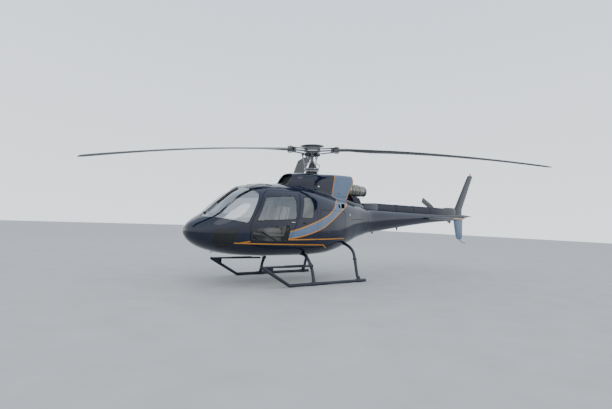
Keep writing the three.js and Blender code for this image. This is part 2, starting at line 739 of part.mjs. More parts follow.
function addTail() {
  const outer = hullSolid(boomTable, 0, 20);
  const hollow = boomTable.filter((row) => row[0] < boomHollowEnd);
  const innerRows = [[hollow[0][0] - 40, ...hollow[0].slice(1)], ...hollow.slice(1),
    rowAt(boomTable, boomHollowEnd)];
  const inner = loft(innerRows.map((row) => sectionRing(row, boomWall, 20)));
  const boom = outer.subtract(inner);
  const skin = hullSolid(boomTable, -contactGap, 20).add(hullSolid(hullTable, -contactGap));

  const topCover = join([
    sidePlate([[cover.front, 1700], [cover.front, 1985], [cover.step, 2025], [cover.step, 1700]],
      -cover.half - 12, cover.half + 12),
    sidePlate([[cover.step - 5, 1700], [cover.step - 5, 2010], [cover.back, 2015], [cover.back, 1700]],
      -cover.half, cover.half),
    sidePlate(coverRise, -105, 105),
  ]);
  const seated = cut(topCover, [skin, nozzleOuter(contactGap)]);
  add('drive_shaft_cover', toGeometry(largest(seated)), 'navy');

  const gear = { front: 5761, back: 6430, x: -385.7, hubY: 6110, hubZ: 1940 };
  const tailGearbox = join([
    sidePlate([[gear.front, 1700], [gear.front, 2000], [5900, 2045], [gear.back, 2060], [gear.back, 1700]],
      -80, 80),
    bar([-60, gear.hubY, gear.hubZ], [gear.x, gear.hubY, gear.hubZ], 60, 34, 14),
  ]);
  add('tail_gearbox', toGeometry(largest(tailGearbox.subtract(skin))), 'dark');

  // Fins: flat-sided tapers. Columns: y of the leading and trailing edge, z, half thickness
  const finSolid = (rows) => loft(rows.map(([front, back, z, half]) => {
    const chord = back - front;
    return [[0, front, z], [half, front + chord * 0.3, z], [half * 0.35, back - chord * 0.06, z],
      [0, back, z], [-half * 0.35, back - chord * 0.06, z], [-half, front + chord * 0.3, z]];
  }));
  const boomCut = hullSolid(boomTable, -contactGap, 20);
  const upper = finSolid([[6440, 6905, 1790, 55], [6520, 6960, 2054, 48], [7226, 7560, 3225, 28],
    [7262, tailEnd, 3250, 20]]);
  add('upper_fin', toGeometry(largest(upper.subtract(boomCut).subtract(box(-90, 90, 6300, gear.back + 0.3,
    1600, 2100)))), 'navy');
  const lower = finSolid([[6420, 6975, 1740, 50], [6430, 6972, 1610, 46], [6532, 6990, 1216, 34],
    [6640, 6975, 1030, 26], [6690, 6930, 985, 16]]);
  const guard = bentTube([[0, 6780, 1010], [0, 6800, 950], [0, 7200, 842]], 11, 15, 8);
  add('lower_fin', toGeometry(largest(lower.subtract(boomCut).add(guard))), 'lightBlue');

  add('stabiliser', toGeometry(stabiliserSolid(0)), 'navy');
  add('tail_boom', toGeometry(boom.subtract(stabiliserSolid(contactGap))), 'navy');
  return gear;
}

function addLandingGear() {
  const grown = [1, -1].map((side) => skidTube(side * skidHalfTrack, skidRadius + contactGap));
  for (const [name, y, half] of crossTubes) {
    add(name, toGeometry(largest(cut(archTube(y, half, crossTubeRadius), grown))), 'navy');
  }
  add('skid_left', toGeometry(skidSolid(1)), 'dark');
  add('skid_right', toGeometry(skidSolid(-1)), 'dark');
}

// Main rotor: three blades that droop when parked, one pointing almost straight
// forward. Pitch of each blade's root in degrees, and how much is lost at the tip
const rotorTurn = THREE.MathUtils.degToRad(-3.9);
const blade = { droop: 570, droopPower: 1.72, pitch: [12.5, 10.0, 10.2], twist: 13.9 };

// Blade sections. Columns: radius, leading and trailing edge from the blade's axis, thickness
const bladeTable = [
  [715.4, 66, 72, 76],
  [980, 85, 85, 68],
  [1150, 98, 176, 58],
  [1450, 98, 252, 44],
  [2000, 98, 252, 38],
  [2700, 98, 252, 38],
  [3500, 98, 252, 38],
  [4400, 98, 252, 38],
  [rotorRadius, 98, 252, 38],
];

function bladeSolid(rootPitch) {
  const rings = bladeTable.map(([r, lead, trail, thick]) => {
    const z = -blade.droop * (r / rotorRadius) ** blade.droopPower;
    const chord = lead + trail;
    const t = thick / 2;
    const pitch = THREE.MathUtils.degToRad(rootPitch - blade.twist * (r / rotorRadius));
    const [cos, sin] = [Math.cos(pitch), Math.sin(pitch)];
    const [fore, mid] = [chord * 0.13 - lead, chord * 0.43 - lead];
    return [[-lead, 0], [fore, t], [mid, t * 0.9], [trail, 3], [trail, -3], [mid, -t * 0.8],
      [fore, -t * 0.8]].map(([x, up]) => [x * cos + up * sin, -r, z + up * cos - x * sin]);
  });
  return loft(rings);
}

function starArm() {
  const arm = box(-58, 58, -560, 0, -20, 6);
  const flange = (z0, z1) => box(-64, 64, -715, -210, z0, z1);
  const dampers = box(-60, 60, -600, -530, -68, 58);
  const grip = box(-70, 70, -715, -640, -50, 42);
  const horn = box(-135, -50, -245, -195, -120, -60);
  const link = bar([-120, -120, -460], [-120, -220, -90], 11, 11, 6);
  return join([arm, flange(40, 56), flange(-66, -50), dampers, grip, horn, link]);
}

function addMainRotor() {
  const hubParts = [
    bar([0, 0, -299.4], [0, 0, 60], 42, 42, 16),
    bar([0, 0, -60], [0, 0, 60], 150, 150, 18),
    bar([0, 0, 30], [0, 0, 112], 205, 215, 24),
    bar([0, 0, 105], [0, 0, 125], 300, 300, 28),
    bar([0, 0, 120], [0, 0, 172], 290, 60, 28),
    bar([0, 0, -485], [0, 0, -440], 185, 185, 20).subtract(bar([0, 0, -500], [0, 0, -430], 125, 125, 20)),
  ];
  const rotor = new THREE.Group();
  rotor.position.set(...hub);
  rotor.rotation.set(mastTilt, 0, rotorTurn);
  model.add(rotor);
  blade.pitch.forEach((rootPitch, k) => {
    hubParts.push(turned(starArm(), k * 120));
    const mesh = add(`main_blade_${k + 1}`, toGeometry(bladeSolid(rootPitch)), 'blade', rotor);
    mesh.rotation.z = THREE.MathUtils.degToRad(k * 120);
  });
  add('rotor_head', toGeometry(largest(join(hubParts))), 'dark', rotor);
}

const tailRotor = { radius: 930, chord: 185, x: -460, lean: -23.5 };

function addTailRotor(gear) {
  const span = tailRotor.radius;
  const ring = (r, c, t) => [[-t, r, -c * 0.4], [0, r, -c * 0.5], [t, r, -c * 0.4], [2, r, c * 0.5],
    [-2, r, c * 0.5]];
  const blades = loft([ring(-span, 150, 7), ring(-span + 60, 185, 8), ring(-330, 185, 10),
    ring(-200, 90, 16), ring(200, 90, 16), ring(330, 185, 10), ring(span - 60, 185, 8), ring(span, 150, 7)]);
  const yoke = join([
    bar([-36, 0, 0], [74, 0, 0], 34, 34, 14),
    box(-26, 26, -230, 230, -40, 40),
    blades,
  ]);
  const mesh = add('tail_rotor_blades', toGeometry(yoke), 'blade');
  mesh.position.set(tailRotor.x, gear.hubY, gear.hubZ);
  mesh.rotation.x = THREE.MathUtils.degToRad(tailRotor.lean);
}

addCabin();
addGlass();
addDoors();
addInterior();
addCowlings();
addExhaust();
const tailGear = addTail();
addLandingGear();
addMainRotor();
addTailRotor(tailGear);

model.position.set(-boxSide, -boxMiddle, 0);
model.updateMatrixWorld(true);

export default model;
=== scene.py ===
"""Looks of a light helicopter on tall skids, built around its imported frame.

Metres, +Z up, +X to port, the nose to -Y. Places are given from the rotor mast:
y aft of the mast, x to port of the middle plane, z above the ground. Shape.make()
moves them into the frame, whose origin lies under the middle of the outer box.
"""

import json
import math

import bpy
import numpy as np
from mathutils import Matrix, Vector
from mathutils.geometry import delaunay_2d_cdt


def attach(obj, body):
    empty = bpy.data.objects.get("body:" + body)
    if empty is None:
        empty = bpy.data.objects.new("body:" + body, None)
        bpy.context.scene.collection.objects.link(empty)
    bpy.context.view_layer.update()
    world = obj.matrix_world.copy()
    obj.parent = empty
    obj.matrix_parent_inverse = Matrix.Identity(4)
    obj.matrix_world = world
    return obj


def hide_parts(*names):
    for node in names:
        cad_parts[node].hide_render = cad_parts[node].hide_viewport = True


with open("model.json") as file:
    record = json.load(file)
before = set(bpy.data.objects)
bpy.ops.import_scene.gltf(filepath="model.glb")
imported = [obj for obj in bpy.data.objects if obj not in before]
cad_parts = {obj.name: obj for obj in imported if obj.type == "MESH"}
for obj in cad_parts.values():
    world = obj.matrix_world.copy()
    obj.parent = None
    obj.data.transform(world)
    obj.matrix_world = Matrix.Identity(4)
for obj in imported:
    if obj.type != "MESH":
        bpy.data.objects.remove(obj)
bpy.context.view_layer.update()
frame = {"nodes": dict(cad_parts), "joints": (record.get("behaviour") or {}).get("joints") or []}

joint_at = {j["name"]: Vector(j["pos_m"]) for j in frame["joints"]}
MAST = joint_at["main_rotor_spin"]
SHIFT = np.array([MAST.x, MAST.y, 0.0])
HUB_Z = MAST.z
MAST_TILT = math.radians(1.9)


# Camera and light

CAMERA_PLACE = (8.6306, -7.1495, 1.4346)
CAMERA_ANGLES = (-50.893, 2.079, 2.219)
SENSOR_WIDTH, LENS = 36.0, 26.109
FLOOR_HALF = 60.0
SKY = [(0.0, (0.52, 0.55, 0.59)), (0.40, (0.84, 0.88, 0.93)), (1.0, (0.58, 0.65, 0.75))]
SKY_STRENGTH = 1.9


def make_camera():
    """Camera of the photograph, from its yaw, pitch and roll."""
    yaw, pitch, roll = (math.radians(a) for a in CAMERA_ANGLES)
    look = Vector((math.cos(pitch) * math.sin(yaw), math.cos(pitch) * math.cos(yaw), math.sin(pitch)))
    right = look.cross(Vector((0, 0, 1))).normalized()
    up = right.cross(look)
    turned_right = right * math.cos(roll) + up * math.sin(roll)
    turned_up = up * math.cos(roll) - right * math.sin(roll)
    data = bpy.data.cameras.new("camera")
    data.sensor_width = SENSOR_WIDTH
    data.lens = LENS
    data.clip_end = 200.0
    camera = bpy.data.objects.new("camera", data)
    bpy.context.scene.collection.objects.link(camera)
    rotation = Matrix((turned_right, turned_up, -look)).transposed().to_4x4()
    camera.matrix_world = Matrix.Translation(Vector(CAMERA_PLACE) + Vector(SHIFT)) @ rotation
    bpy.context.scene.camera = camera


def make_stage():
    """Plain pale floor under a plain sky, with two soft lamps."""
    world = bpy.data.worlds.new("studio")
    bpy.context.scene.world = world
    world.use_nodes = True
    tree, links = world.node_tree, world.node_tree.links
    background = tree.nodes["Background"]
    background.inputs["Strength"].default_value = SKY_STRENGTH
    coords = add_node(tree, "TexCoord")
    height = add_node(tree, "VectorMath")
    height.operation = "DOT_PRODUCT"
    height.inputs[1].default_value = (-0.17, 0.14, 1.0)
    ramp = add_node(tree, "ValToRGB")
    shift = add_node(tree, "Math")
    shift.inputs[1].default_value = 0.25
    links.new(coords.outputs["Generated"], height.inputs[0])
    links.new(height.outputs["Value"], shift.inputs[0])
    links.new(shift.outputs[0], ramp.inputs["Fac"])
    links.new(ramp.outputs["Color"], background.inputs["Color"])
    elements = ramp.color_ramp.elements
    for k, (place, colour) in enumerate(SKY):
        element = elements[k] if k < 2 else elements.new(place)
        element.position = place
        element.color = (*colour, 1.0)

    def area(name, place, size, power):
        data = bpy.data.lights.new(name, "AREA")
        data.shape = "DISK"
        data.size = size
        data.energy = power
        light = bpy.data.objects.new(name, data)
        light.location = Vector(place)
        light.rotation_euler = (-Vector(place)).to_track_quat("-Z", "Y").to_euler()
        bpy.context.scene.collection.objects.link(light)

    area("key", (9, -9, 14), 12, 500)
    area("fill", (-12, 4, 12), 14, 200)

    mesh = bpy.data.meshes.new("floor")
    corners = [(x * FLOOR_HALF, y * FLOOR_HALF, 0) for x, y in ((-1, -1), (1, -1), (1, 1), (-1, 1))]
    mesh.from_pydata(corners, [], [(0, 1, 2, 3)])
    floor = bpy.data.objects.new("floor", mesh)
    bpy.context.scene.collection.objects.link(floor)
    mesh.materials.append(surface("floor", (0.42, 0.42, 0.412), 0.9, grain=(1.5, 0.06)))


# Materials

COAT_ROUGHNESS = 0.04
ROUGHNESS_SPREAD = 0.16


def add_node(tree, kind, **inputs):
    """New shader node; inputs are named with _ for a space."""
    node = tree.nodes.new("ShaderNode" + kind)
    for name, value in inputs.items():
        node.inputs[name.replace("_", " ")].default_value = value
    return node


def surface(name, colour, roughness, metallic=0.0, coat=0.0, alpha=1.0, grain=(8.0, 0.03), bump=(0.0, 60.0),
            specular=0.5, streak=None):
    """Principled material whose colour and roughness vary a little by noise.

    grain is the scale and amount of the colour change, bump the depth and scale of the relief."""
    material = bpy.data.materials.new(name)
    material.use_nodes = True
    tree, links = material.node_tree, material.node_tree.links
    shader = tree.nodes["Principled BSDF"]
    for name, value in (("Metallic", metallic), ("Coat Weight", coat), ("Coat Roughness", COAT_ROUGHNESS),
                        ("Alpha", alpha), ("Specular IOR Level", specular)):
        shader.inputs[name].default_value = value
    coords = add_node(tree, "TexCoord")
    scale, change = grain
    noise = add_node(tree, "TexNoise", Scale=scale, Detail=4.0)
    links.new(coords.outputs["Object"], noise.inputs["Vector"])
    if streak:
        mapping = add_node(tree, "Mapping", Scale=streak)
        links.new(coords.outputs["Object"], mapping.inputs["Vector"])
        links.new(mapping.outputs["Vector"], noise.inputs["Vector"])
    ramp = add_node(tree, "ValToRGB")
    ramp.color_ramp.elements[0].position = 0.3
    ramp.color_ramp.elements[1].position = 0.7
    ramp.color_ramp.elements[0].color = (*[max(c * (1 - change) - change * 0.02, 0) for c in colour], 1)
    ramp.color_ramp.elements[1].color = (*[min(c * (1 + change) + change * 0.02, 1) for c in colour], 1)
    links.new(noise.outputs["Fac"], ramp.inputs["Fac"])
    links.new(ramp.outputs["Color"], shader.inputs["Base Color"])
    spread = add_node(tree, "MapRange", To_Min=max(roughness * (1 - ROUGHNESS_SPREAD), 0.0),
                      To_Max=min(roughness * (1 + ROUGHNESS_SPREAD), 1.0))
    links.new(noise.outputs["Fac"], spread.inputs["Value"])
    links.new(spread.outputs["Result"], shader.inputs["Roughness"])
    if bump[0] > 0:
        relief = add_node(tree, "TexNoise", Scale=bump[1], Detail=3.0)
        links.new(coords.outputs["Object"], relief.inputs["Vector"])
        node = add_node(tree, "Bump", Strength=0.4, Distance=bump[0])
        links.new(relief.outputs["Fac"], node.inputs["Height"])
        links.new(node.outputs["Normal"], shader.inputs["Normal"])
    return material


def woven(name, colour, roughness=0.85, thread=90.0):
    """Cloth: two crossed waves make the threads, noise makes the cloth uneven. thread is the
    threads' scale."""
    material = surface(name, colour, roughness, grain=(6.0, 0.12))
    tree, links = material.node_tree, material.node_tree.links
    shader = tree.nodes["Principled BSDF"]
    shader.inputs["Sheen Weight"].default_value = 0.3
    coords = tree.nodes["Texture Coordinate"]
    mix = add_node(tree, "Math")
    mix.operation = "MULTIPLY"
    for k, direction in enumerate(("X", "Z")):
        wave = add_node(tree, "TexWave", Scale=thread, Distortion=0.6)
        wave.bands_direction = direction
        links.new(coords.outputs["Object"], wave.inputs["Vector"])
        links.new(wave.outputs["Fac"], mix.inputs[k])
    bump = add_node(tree, "Bump", Strength=0.5, Distance=0.001)
    links.new(mix.outputs[0], bump.inputs["Height"])
    links.new(bump.outputs["Normal"], shader.inputs["Normal"])
    return material


def make_materials():
    """All materials, under the short names that the mesh code uses."""
    return {
        "navy": surface("navy_paint", (0.0030, 0.0064, 0.0215), 0.08, grain=(3.0, 0.06)),
        "blue": surface("light_blue_paint", (0.100, 0.150, 0.235), 0.14, grain=(3.0, 0.06)),
        "orange": surface("orange_paint", (0.52, 0.20, 0.012), 0.2, grain=(5.0, 0.08)),
        "liner": surface("cabin_liner", (0.46, 0.455, 0.43), 0.8, grain=(12.0, 0.08), bump=(0.0008, 300.0)),
        "rubber": surface("seal_rubber", (0.012, 0.012, 0.013), 0.55, grain=(20.0, 0.15), bump=(0.0003, 250.0)),
        "glass": surface("clear_pane", (0.26, 0.28, 0.29), 0.02, 1.0, alpha=0.33, grain=(2.0, 0.03)),
        "tint": surface("tinted_pane", (0.004, 0.005, 0.006), 0.05, alpha=0.88, grain=(2.0, 0.05), specular=0.6),
        "windshield": surface("windshield_pane", (0.40, 0.43, 0.45), 0.03, 1.0, alpha=0.50, grain=(2.0, 0.03)),
        "low_pane": surface("lower_pane", (0.03, 0.03, 0.032), 0.04, alpha=0.22, grain=(2.0, 0.03)),
        "rear_pane": surface("rear_pane", (0.175, 0.178, 0.175), 0.10, alpha=0.78, grain=(2.0, 0.08)),
        # dark streaked brown for the panel between the bench backs: painted shade of the rear cabin
        "trim": surface("rear_cabin_shade_panel", (0.020, 0.016, 0.014), 0.8, grain=(30.0, 0.5), streak=(3, 1, 0.4)),
        "lens": surface("lamp_lens", (0.008, 0.009, 0.010), 0.12, coat=0.2, grain=(30.0, 0.2)),
        "tube": surface("gear_paint", (0.010, 0.013, 0.024), 0.36, coat=0.1, grain=(9.0, 0.2), bump=(0.0004, 60.0)),
        "steel": surface("bare_steel", (0.42, 0.43, 0.44), 0.32, 0.9, grain=(40.0, 0.12), streak=(1, 8, 8)),
        "dark_metal": surface("dark_metal", (0.07, 0.075, 0.082), 0.42, 0.7, grain=(30.0, 0.2)),
        "head": surface("rotor_head_paint", (0.135, 0.148, 0.168), 0.42, 0.1, grain=(30.0, 0.2), bump=(0.0004, 90.0)),
        "blade": surface("blade_paint", (0.085, 0.089, 0.089), 0.45, grain=(4.0, 0.1), bump=(0.0002, 40.0)),
        "black": surface("black_plastic", (0.010, 0.010, 0.011), 0.5, grain=(25.0, 0.15), bump=(0.0003, 200.0)),
        "exhaust": surface("exhaust_metal", (0.20, 0.195, 0.175), 0.24, 0.95, grain=(4.0, 0.85), bump=(0.0008, 30.0),
                           streak=(0.6, 6, 0.6)),
        "slot": surface("slot_shadow", (0.002, 0.002, 0.002), 0.95, grain=(20.0, 0.3), specular=0.0),
        "soot": surface("soot", (0.012, 0.011, 0.010), 0.9, grain=(20.0, 0.3)),
        "seat": woven("seat_cloth", (0.55, 0.54, 0.51)),
        "carpet": woven("floor_carpet", (0.06, 0.06, 0.065), 0.95, 50.0),
        "belt": woven("belt_webbing", (0.05, 0.05, 0.055), 0.8, 120.0),
        "red": surface("beacon_lens", (0.6, 0.02, 0.015), 0.1, coat=1.0, grain=(30.0, 0.1)),
        "gold": surface("gold_paint", (0.62, 0.36, 0.08), 0.3, coat=0.6, grain=(5.0, 0.08)),
        "white": surface("white_plastic", (0.75, 0.75, 0.73), 0.4, grain=(15.0, 0.05)),
        "saddle": surface("saddle_paint", (0.006, 0.008, 0.020), 0.5, grain=(6.0, 0.15)),
        "gearbox": surface("tail_gearbox_paint", (0.012, 0.014, 0.018), 0.45, coat=0.3, grain=(12.0, 0.2)),
    }


# Mesh code

class Shape:
    """Joined mesh made of many simple solids, each with a material of its own."""

    def __init__(self):
        self.points = []
        self.faces = []
        self.slots = []
        self.count = 0
        self.names = []

    def add(self, points, faces, material):
        points = np.asarray(points, float)
        if material not in self.names:
            self.names.append(material)
        self.points.append(points)
        self.faces += [tuple(i + self.count for i in f) for f in faces]
        self.slots += [self.names.index(material)] * len(faces)
        self.count += len(points)

    def moved(self, matrix, make):
        """Adds what make(shape) builds, moved by a matrix."""
        part = Shape()
        make(part)
        points = np.concatenate(part.points)
        matrix = np.array(matrix)
        points = points @ matrix[:3, :3].T + matrix[:3, 3]
        flip = np.linalg.det(matrix[:3, :3]) < 0
        for k, name in enumerate(part.names):
            faces = [f[::-1] if flip else f for f, s in zip(part.faces, part.slots) if s == k]
            used = sorted({i for f in faces for i in f})
            order = {old: new for new, old in enumerate(used)}
            self.add(points[used], [tuple(order[i] for i in f) for f in faces], name)

    def make(self, name, body, replaces=(), slot=None, sharp=35.0):
        mesh = bpy.data.meshes.new(name)
        mesh.from_pydata((np.concatenate(self.points) + SHIFT).tolist(), [], self.faces)
        mesh.polygons.foreach_set("material_index", self.slots)
        mesh.polygons.foreach_set("use_smooth", [True] * len(self.faces))
        for material in self.names:
            mesh.materials.append(MATERIALS[material])
        mesh.update()
        if sharp is not None:
            mesh.set_sharp_from_angle(angle=math.radians(sharp))
        return place_piece(name, mesh, body, replaces)


def place_piece(name, mesh, body, replaces):
    """Puts a mesh in the scene as a piece of one body, in place of the frame's own nodes."""
    piece = bpy.data.objects.new(name, mesh)
    bpy.context.scene.collection.objects.link(piece)
    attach(piece, body)
    if replaces:
        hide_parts(*replaces)
    return piece


def ring_faces(count, rings, close_path=False):
    """Quads between rings; close_path joins the last ring to the first."""
    faces = []
    for k in range(rings if close_path else rings - 1):
        for i in range(count):
            a = k * count + i
            b = k * count + (i + 1) % count
            c = ((k + 1) % rings) * count + (i + 1) % count
            d = ((k + 1) % rings) * count + i
            faces.append((a, b, c, d))
    return faces


def loft(shape, rings, material, caps=True, close_path=False):
    """Skin through rings of equal point counts."""
    rings = np.asarray(rings, float)
    count = rings.shape[1]
    points = rings.reshape(-1, 3)
    faces = ring_faces(count, len(rings), close_path)
    if caps and not close_path:
        faces.append(tuple(range(count))[::-1])
        faces.append(tuple(range(len(points) - count, len(points))))
    faces = outward(points, faces)
    shape.add(points, faces, material)


def outward(points, faces):
    """Turns all faces over if the solid they bound has its inside out."""
    volume = 0.0
    for f in faces:
        a = points[f[0]]
        for i in range(1, len(f) - 1):
            volume += np.dot(a, np.cross(points[f[i]], points[f[i + 1]]))
    return [f[::-1] for f in faces] if volume < 0 else faces


def circle(radius, sides):
    angles = np.arange(sides) / sides * 2 * math.pi
    return np.stack([radius * np.cos(angles), radius * np.sin(angles)], 1)


def sweep(shape, path, section, material, closed=False, up=(0, 0, 1), scale=None):
    """Section (2D points) swept along a path, kept upright as far as the path allows."""
    path = np.asarray(path, float)
    n = len(path)
    ahead = np.roll(path, -1, 0) - path
    behind = path - np.roll(path, 1, 0)
    if not closed:
        ahead[-1] = behind[-1]
        behind[0] = ahead[0]
    tangent = ahead / np.linalg.norm(ahead, axis=1)[:, None] + behind / np.linalg.norm(behind, axis=1)[:, None]
    tangent /= np.linalg.norm(tangent, axis=1)[:, None]
    up = np.asarray(up, float)
    ups = np.tile(up, (n, 1)) if up.ndim == 1 else up
    side = np.cross(tangent, ups)
    side /= np.linalg.norm(side, axis=1)[:, None] + 1e-12
    top = np.cross(side, tangent)
    scale = np.ones(n) if scale is None else np.asarray(scale, float)
    section = np.asarray(section, float)
    rings = (path[:, None, :] + side[:, None, :] * (section[None, :, 0:1] * scale[:, None, None])
             + top[:, None, :] * (section[None, :, 1:2] * scale[:, None, None]))
    loft(shape, rings, material, True, closed)


def tube(shape, path, radius, material, sides, closed=False, up=(0, 0, 1), scale=None):
    sweep(shape, path, circle(radius, sides), material, closed, up, scale)


def rod(shape, a, b, radius, material, end_radius=None, sides=16):
    a, b = np.asarray(a, float), np.asarray(b, float)
    up = (0, 0, 1) if abs((b - a)[2]) < 0.9 * np.linalg.norm(b - a) else (0, 1, 0)
    end = 1.0 if end_radius is None else end_radius / radius
    tube(shape, [a, b], radius, material, sides, up=up, scale=[1.0, end])


def lathe(shape, profile, material, centre=(0, 0, 0), axis="z", sides=32):
    """Profile of (radius, height) pairs turned about an axis through centre."""
    angles = np.arange(sides) / sides * 2 * math.pi
    rings = []
    for radius, height in profile:
        radius = max(radius, 1e-4)
        u, v = radius * np.cos(angles), radius * np.sin(angles)
        w = np.full(sides, height)
        order = {"z": (u, v, w), "x": (w, u, v), "y": (v, w, u)}[axis]
        rings.append(np.stack(order, 1) + np.asarray(centre, float))
    loft(shape, rings, material)


def block(shape, low, high, material, bevel=0.004):
    """Box with chamfered edges."""
    low, high = np.asarray(low, float), np.asarray(high, float)
    b = min(bevel, *((high - low) * 0.45))
    rings = []
    for z, inset in ((low[2], b), (low[2] + b, 0), (high[2] - b, 0), (high[2], b)):
        x0, x1, y0, y1 = low[0] + inset, high[0] - inset, low[1] + inset, high[1] - inset
        rings.append([(x0 + b, y0, z), (x1 - b, y0, z), (x1, y0 + b, z), (x1, y1 - b, z),
                      (x1 - b, y1, z), (x0 + b, y1, z), (x0, y1 - b, z), (x0, y0 + b, z)])
    loft(shape, rings, material)


def prism(shape, outline, x0, x1, material, axis="x"):
    """Plate with an outline in a plane, thick along x, y or z."""
    def ring(w):
        return [{"x": (w, u, v), "y": (u, w, v), "z": (u, v, w)}[axis] for u, v in outline]

    loft(shape, [ring(x0), ring(x1)], material)


# Smooth curves through tables

def slopes_of(xs, values):
    """Slopes for a smooth curve through a table that never overshoots."""
    steps = np.diff(xs)[:, None]
    rates = np.diff(values, axis=0) / steps
    slopes = np.zeros_like(values)
    slopes[0], slopes[-1] = rates[0], rates[-1]
    for k in range(1, len(xs) - 1):
        a, b = rates[k - 1], rates[k]
        w1 = 2 * steps[k] + steps[k - 1]
        w2 = steps[k] + 2 * steps[k - 1]
        same = a * b > 0
        safe_a, safe_b = np.where(same, a, 1.0), np.where(same, b, 1.0)
        slopes[k] = np.where(same, (w1 + w2) / (w1 / safe_a + w2 / safe_b), 0.0)
    return slopes


def curve_at(xs, values, slopes, x):
    """Smooth curve through a table, at many places at once."""
    x = np.clip(np.asarray(x, float), xs[0], xs[-1])
    k = np.clip(np.searchsorted(xs, x) - 1, 0, len(xs) - 2)
    h = xs[k + 1] - xs[k]
    t = ((x - xs[k]) / h)[..., None]
    h = h[..., None]
    return ((2 * t**3 - 3 * t**2 + 1) * values[k] + (t**3 - 2 * t**2 + t) * h * slopes[k]
            + (3 * t**2 - 2 * t**3) * values[k + 1] + (t**3 - t**2) * h * slopes[k + 1])


class Hull:
    """Body whose sections are superellipses. Columns of its table: y, lowest z, highest z,
    z of the widest place, half width, power of the upper curve, power of the lower curve.
    With a tip, the body ends there in a round nose."""

    def __init__(self, rows, tip=None):
        rows = np.array(rows, float)
        self.tip = tip
        if tip is not None:
            middle = rows[0, 3]
            rows = np.vstack([[tip, middle, middle, middle, 0.0, *rows[0, 5:]], rows])
        self.y = rows[:, 0]
        self.u = self.to_u(self.y)
        self.values = rows[:, 1:]
        self.slopes = slopes_of(self.u, self.values)

    def to_u(self, y):
        y = np.asarray(y, float)
        return y if self.tip is None else np.sqrt(np.maximum(y - self.tip, 0))

    def to_y(self, u):
        return u if self.tip is None else self.tip + np.asarray(u) ** 2

    def row(self, y):
        return np.moveaxis(curve_at(self.u, self.values, self.slopes, self.to_u(y)), -1, 0)

    def point(self, y, angle):
        """Point at an angle from the widest place, positive upward, on the port side."""
        low, high, wide, half, up, down = self.row(y)
        c, s = np.cos(angle), np.sin(angle)
        power = np.where(s > 0, up, down)
        height = np.where(s > 0, high - wide, wide - low)
        x = half * np.abs(c) ** (2 / power) * np.sign(c)
        z = wide + height * np.sign(s) * np.abs(s) ** (2 / power)
        return np.stack([x, np.broadcast_to(y, x.shape), z], -1)

    def angle_at_z(self, y, z):
        low, high, wide, half, up, down = self.row(y)
        above = z > wide
        height = np.where(above, high - wide, wide - low)
        power = np.where(above, up, down)
        ratio = np.clip(np.abs(z - wide) / np.maximum(height, 1e-6), 0, 1)
        return np.where(above, 1, -1) * np.arcsin(ratio ** (power / 2))

    def angle_at_x(self, y, x, above=True):
        low, high, wide, half, up, down = self.row(y)
        power = up if above else down
        ratio = np.clip(np.abs(x) / np.maximum(half, 1e-6), 0, 1)
        return (1 if above else -1) * np.arccos(ratio ** (power / 2))

    def half_width(self, y, z):
        return self.point(y, self.angle_at_z(y, z))[..., 0]

    def normal(self, point):
        """Outward normals at points on the surface."""
        point = np.asarray(point, float)
        x, y, z = point[..., 0], point[..., 1], point[..., 2]

        def height_over(y):
            low, high, wide, half, up, down = self.row(y)
            above = z > wide
            height = np.maximum(np.where(above, high - wide, wide - low), 1e-6)
            power = np.where(above, up, down)
            half = np.maximum(half, 1e-6)
            return power, half, height, wide

        power, half, height, wide = height_over(y)
        a = np.abs(x) / half
        b = np.abs(z - wide) / height
        gx = power * a ** (power - 1) / half * np.sign(x)
        gz = power * b ** (power - 1) / height * np.sign(z - wide)

        def implicit(y):
            power, half, height, wide = height_over(y)
            return (np.abs(x) / half) ** power + (np.abs(z - wide) / height) ** power

        step = 0.002
        gy = (implicit(y + step) - implicit(np.maximum(y - step, self.y[0]))) / (2 * step)
        n = np.stack([gx, gy, gz], -1)
        return n / (np.linalg.norm(n, axis=-1)[..., None] + 1e-12)


HULL = Hull([
    [-3.305, 1.060, 1.200, 1.125, 0.090, 2.0, 2.0],
    [-3.230, 0.950, 1.310, 1.115, 0.260, 2.1, 2.0],
    [-3.070, 0.835, 1.420, 1.105, 0.440, 2.3, 2.1],
    [-2.850, 0.745, 1.555, 1.095, 0.610, 2.5, 2.2],
    [-2.550, 0.675, 1.810, 1.095, 0.750, 2.5, 2.4],
    [-2.250, 0.635, 2.035, 1.105, 0.840, 2.5, 2.6],
    [-1.900, 0.615, 2.190, 1.115, 0.900, 2.5, 2.8],
    [-1.500, 0.605, 2.250, 1.125, 0.930, 2.5, 3.0],
    [-1.000, 0.605, 2.275, 1.125, 0.935, 2.5, 3.0],
    [-0.500, 0.605, 2.250, 1.145, 0.920, 2.6, 3.0],
    [0.000, 0.625, 2.180, 1.185, 0.870, 2.7, 2.9],
    [0.500, 0.695, 2.090, 1.300, 0.760, 2.7, 2.7],
    [1.000, 0.835, 2.000, 1.440, 0.600, 2.6, 2.5],
    [1.450, 0.995, 1.920, 1.480, 0.460, 2.4, 2.3],
    [1.900, 1.120, 1.840, 1.485, 0.360, 2.2, 2.1],
], tip=-3.318)
HULL_END = 1.75
BOOM_GAP = 0.006
LENS_EDGE = -3.295

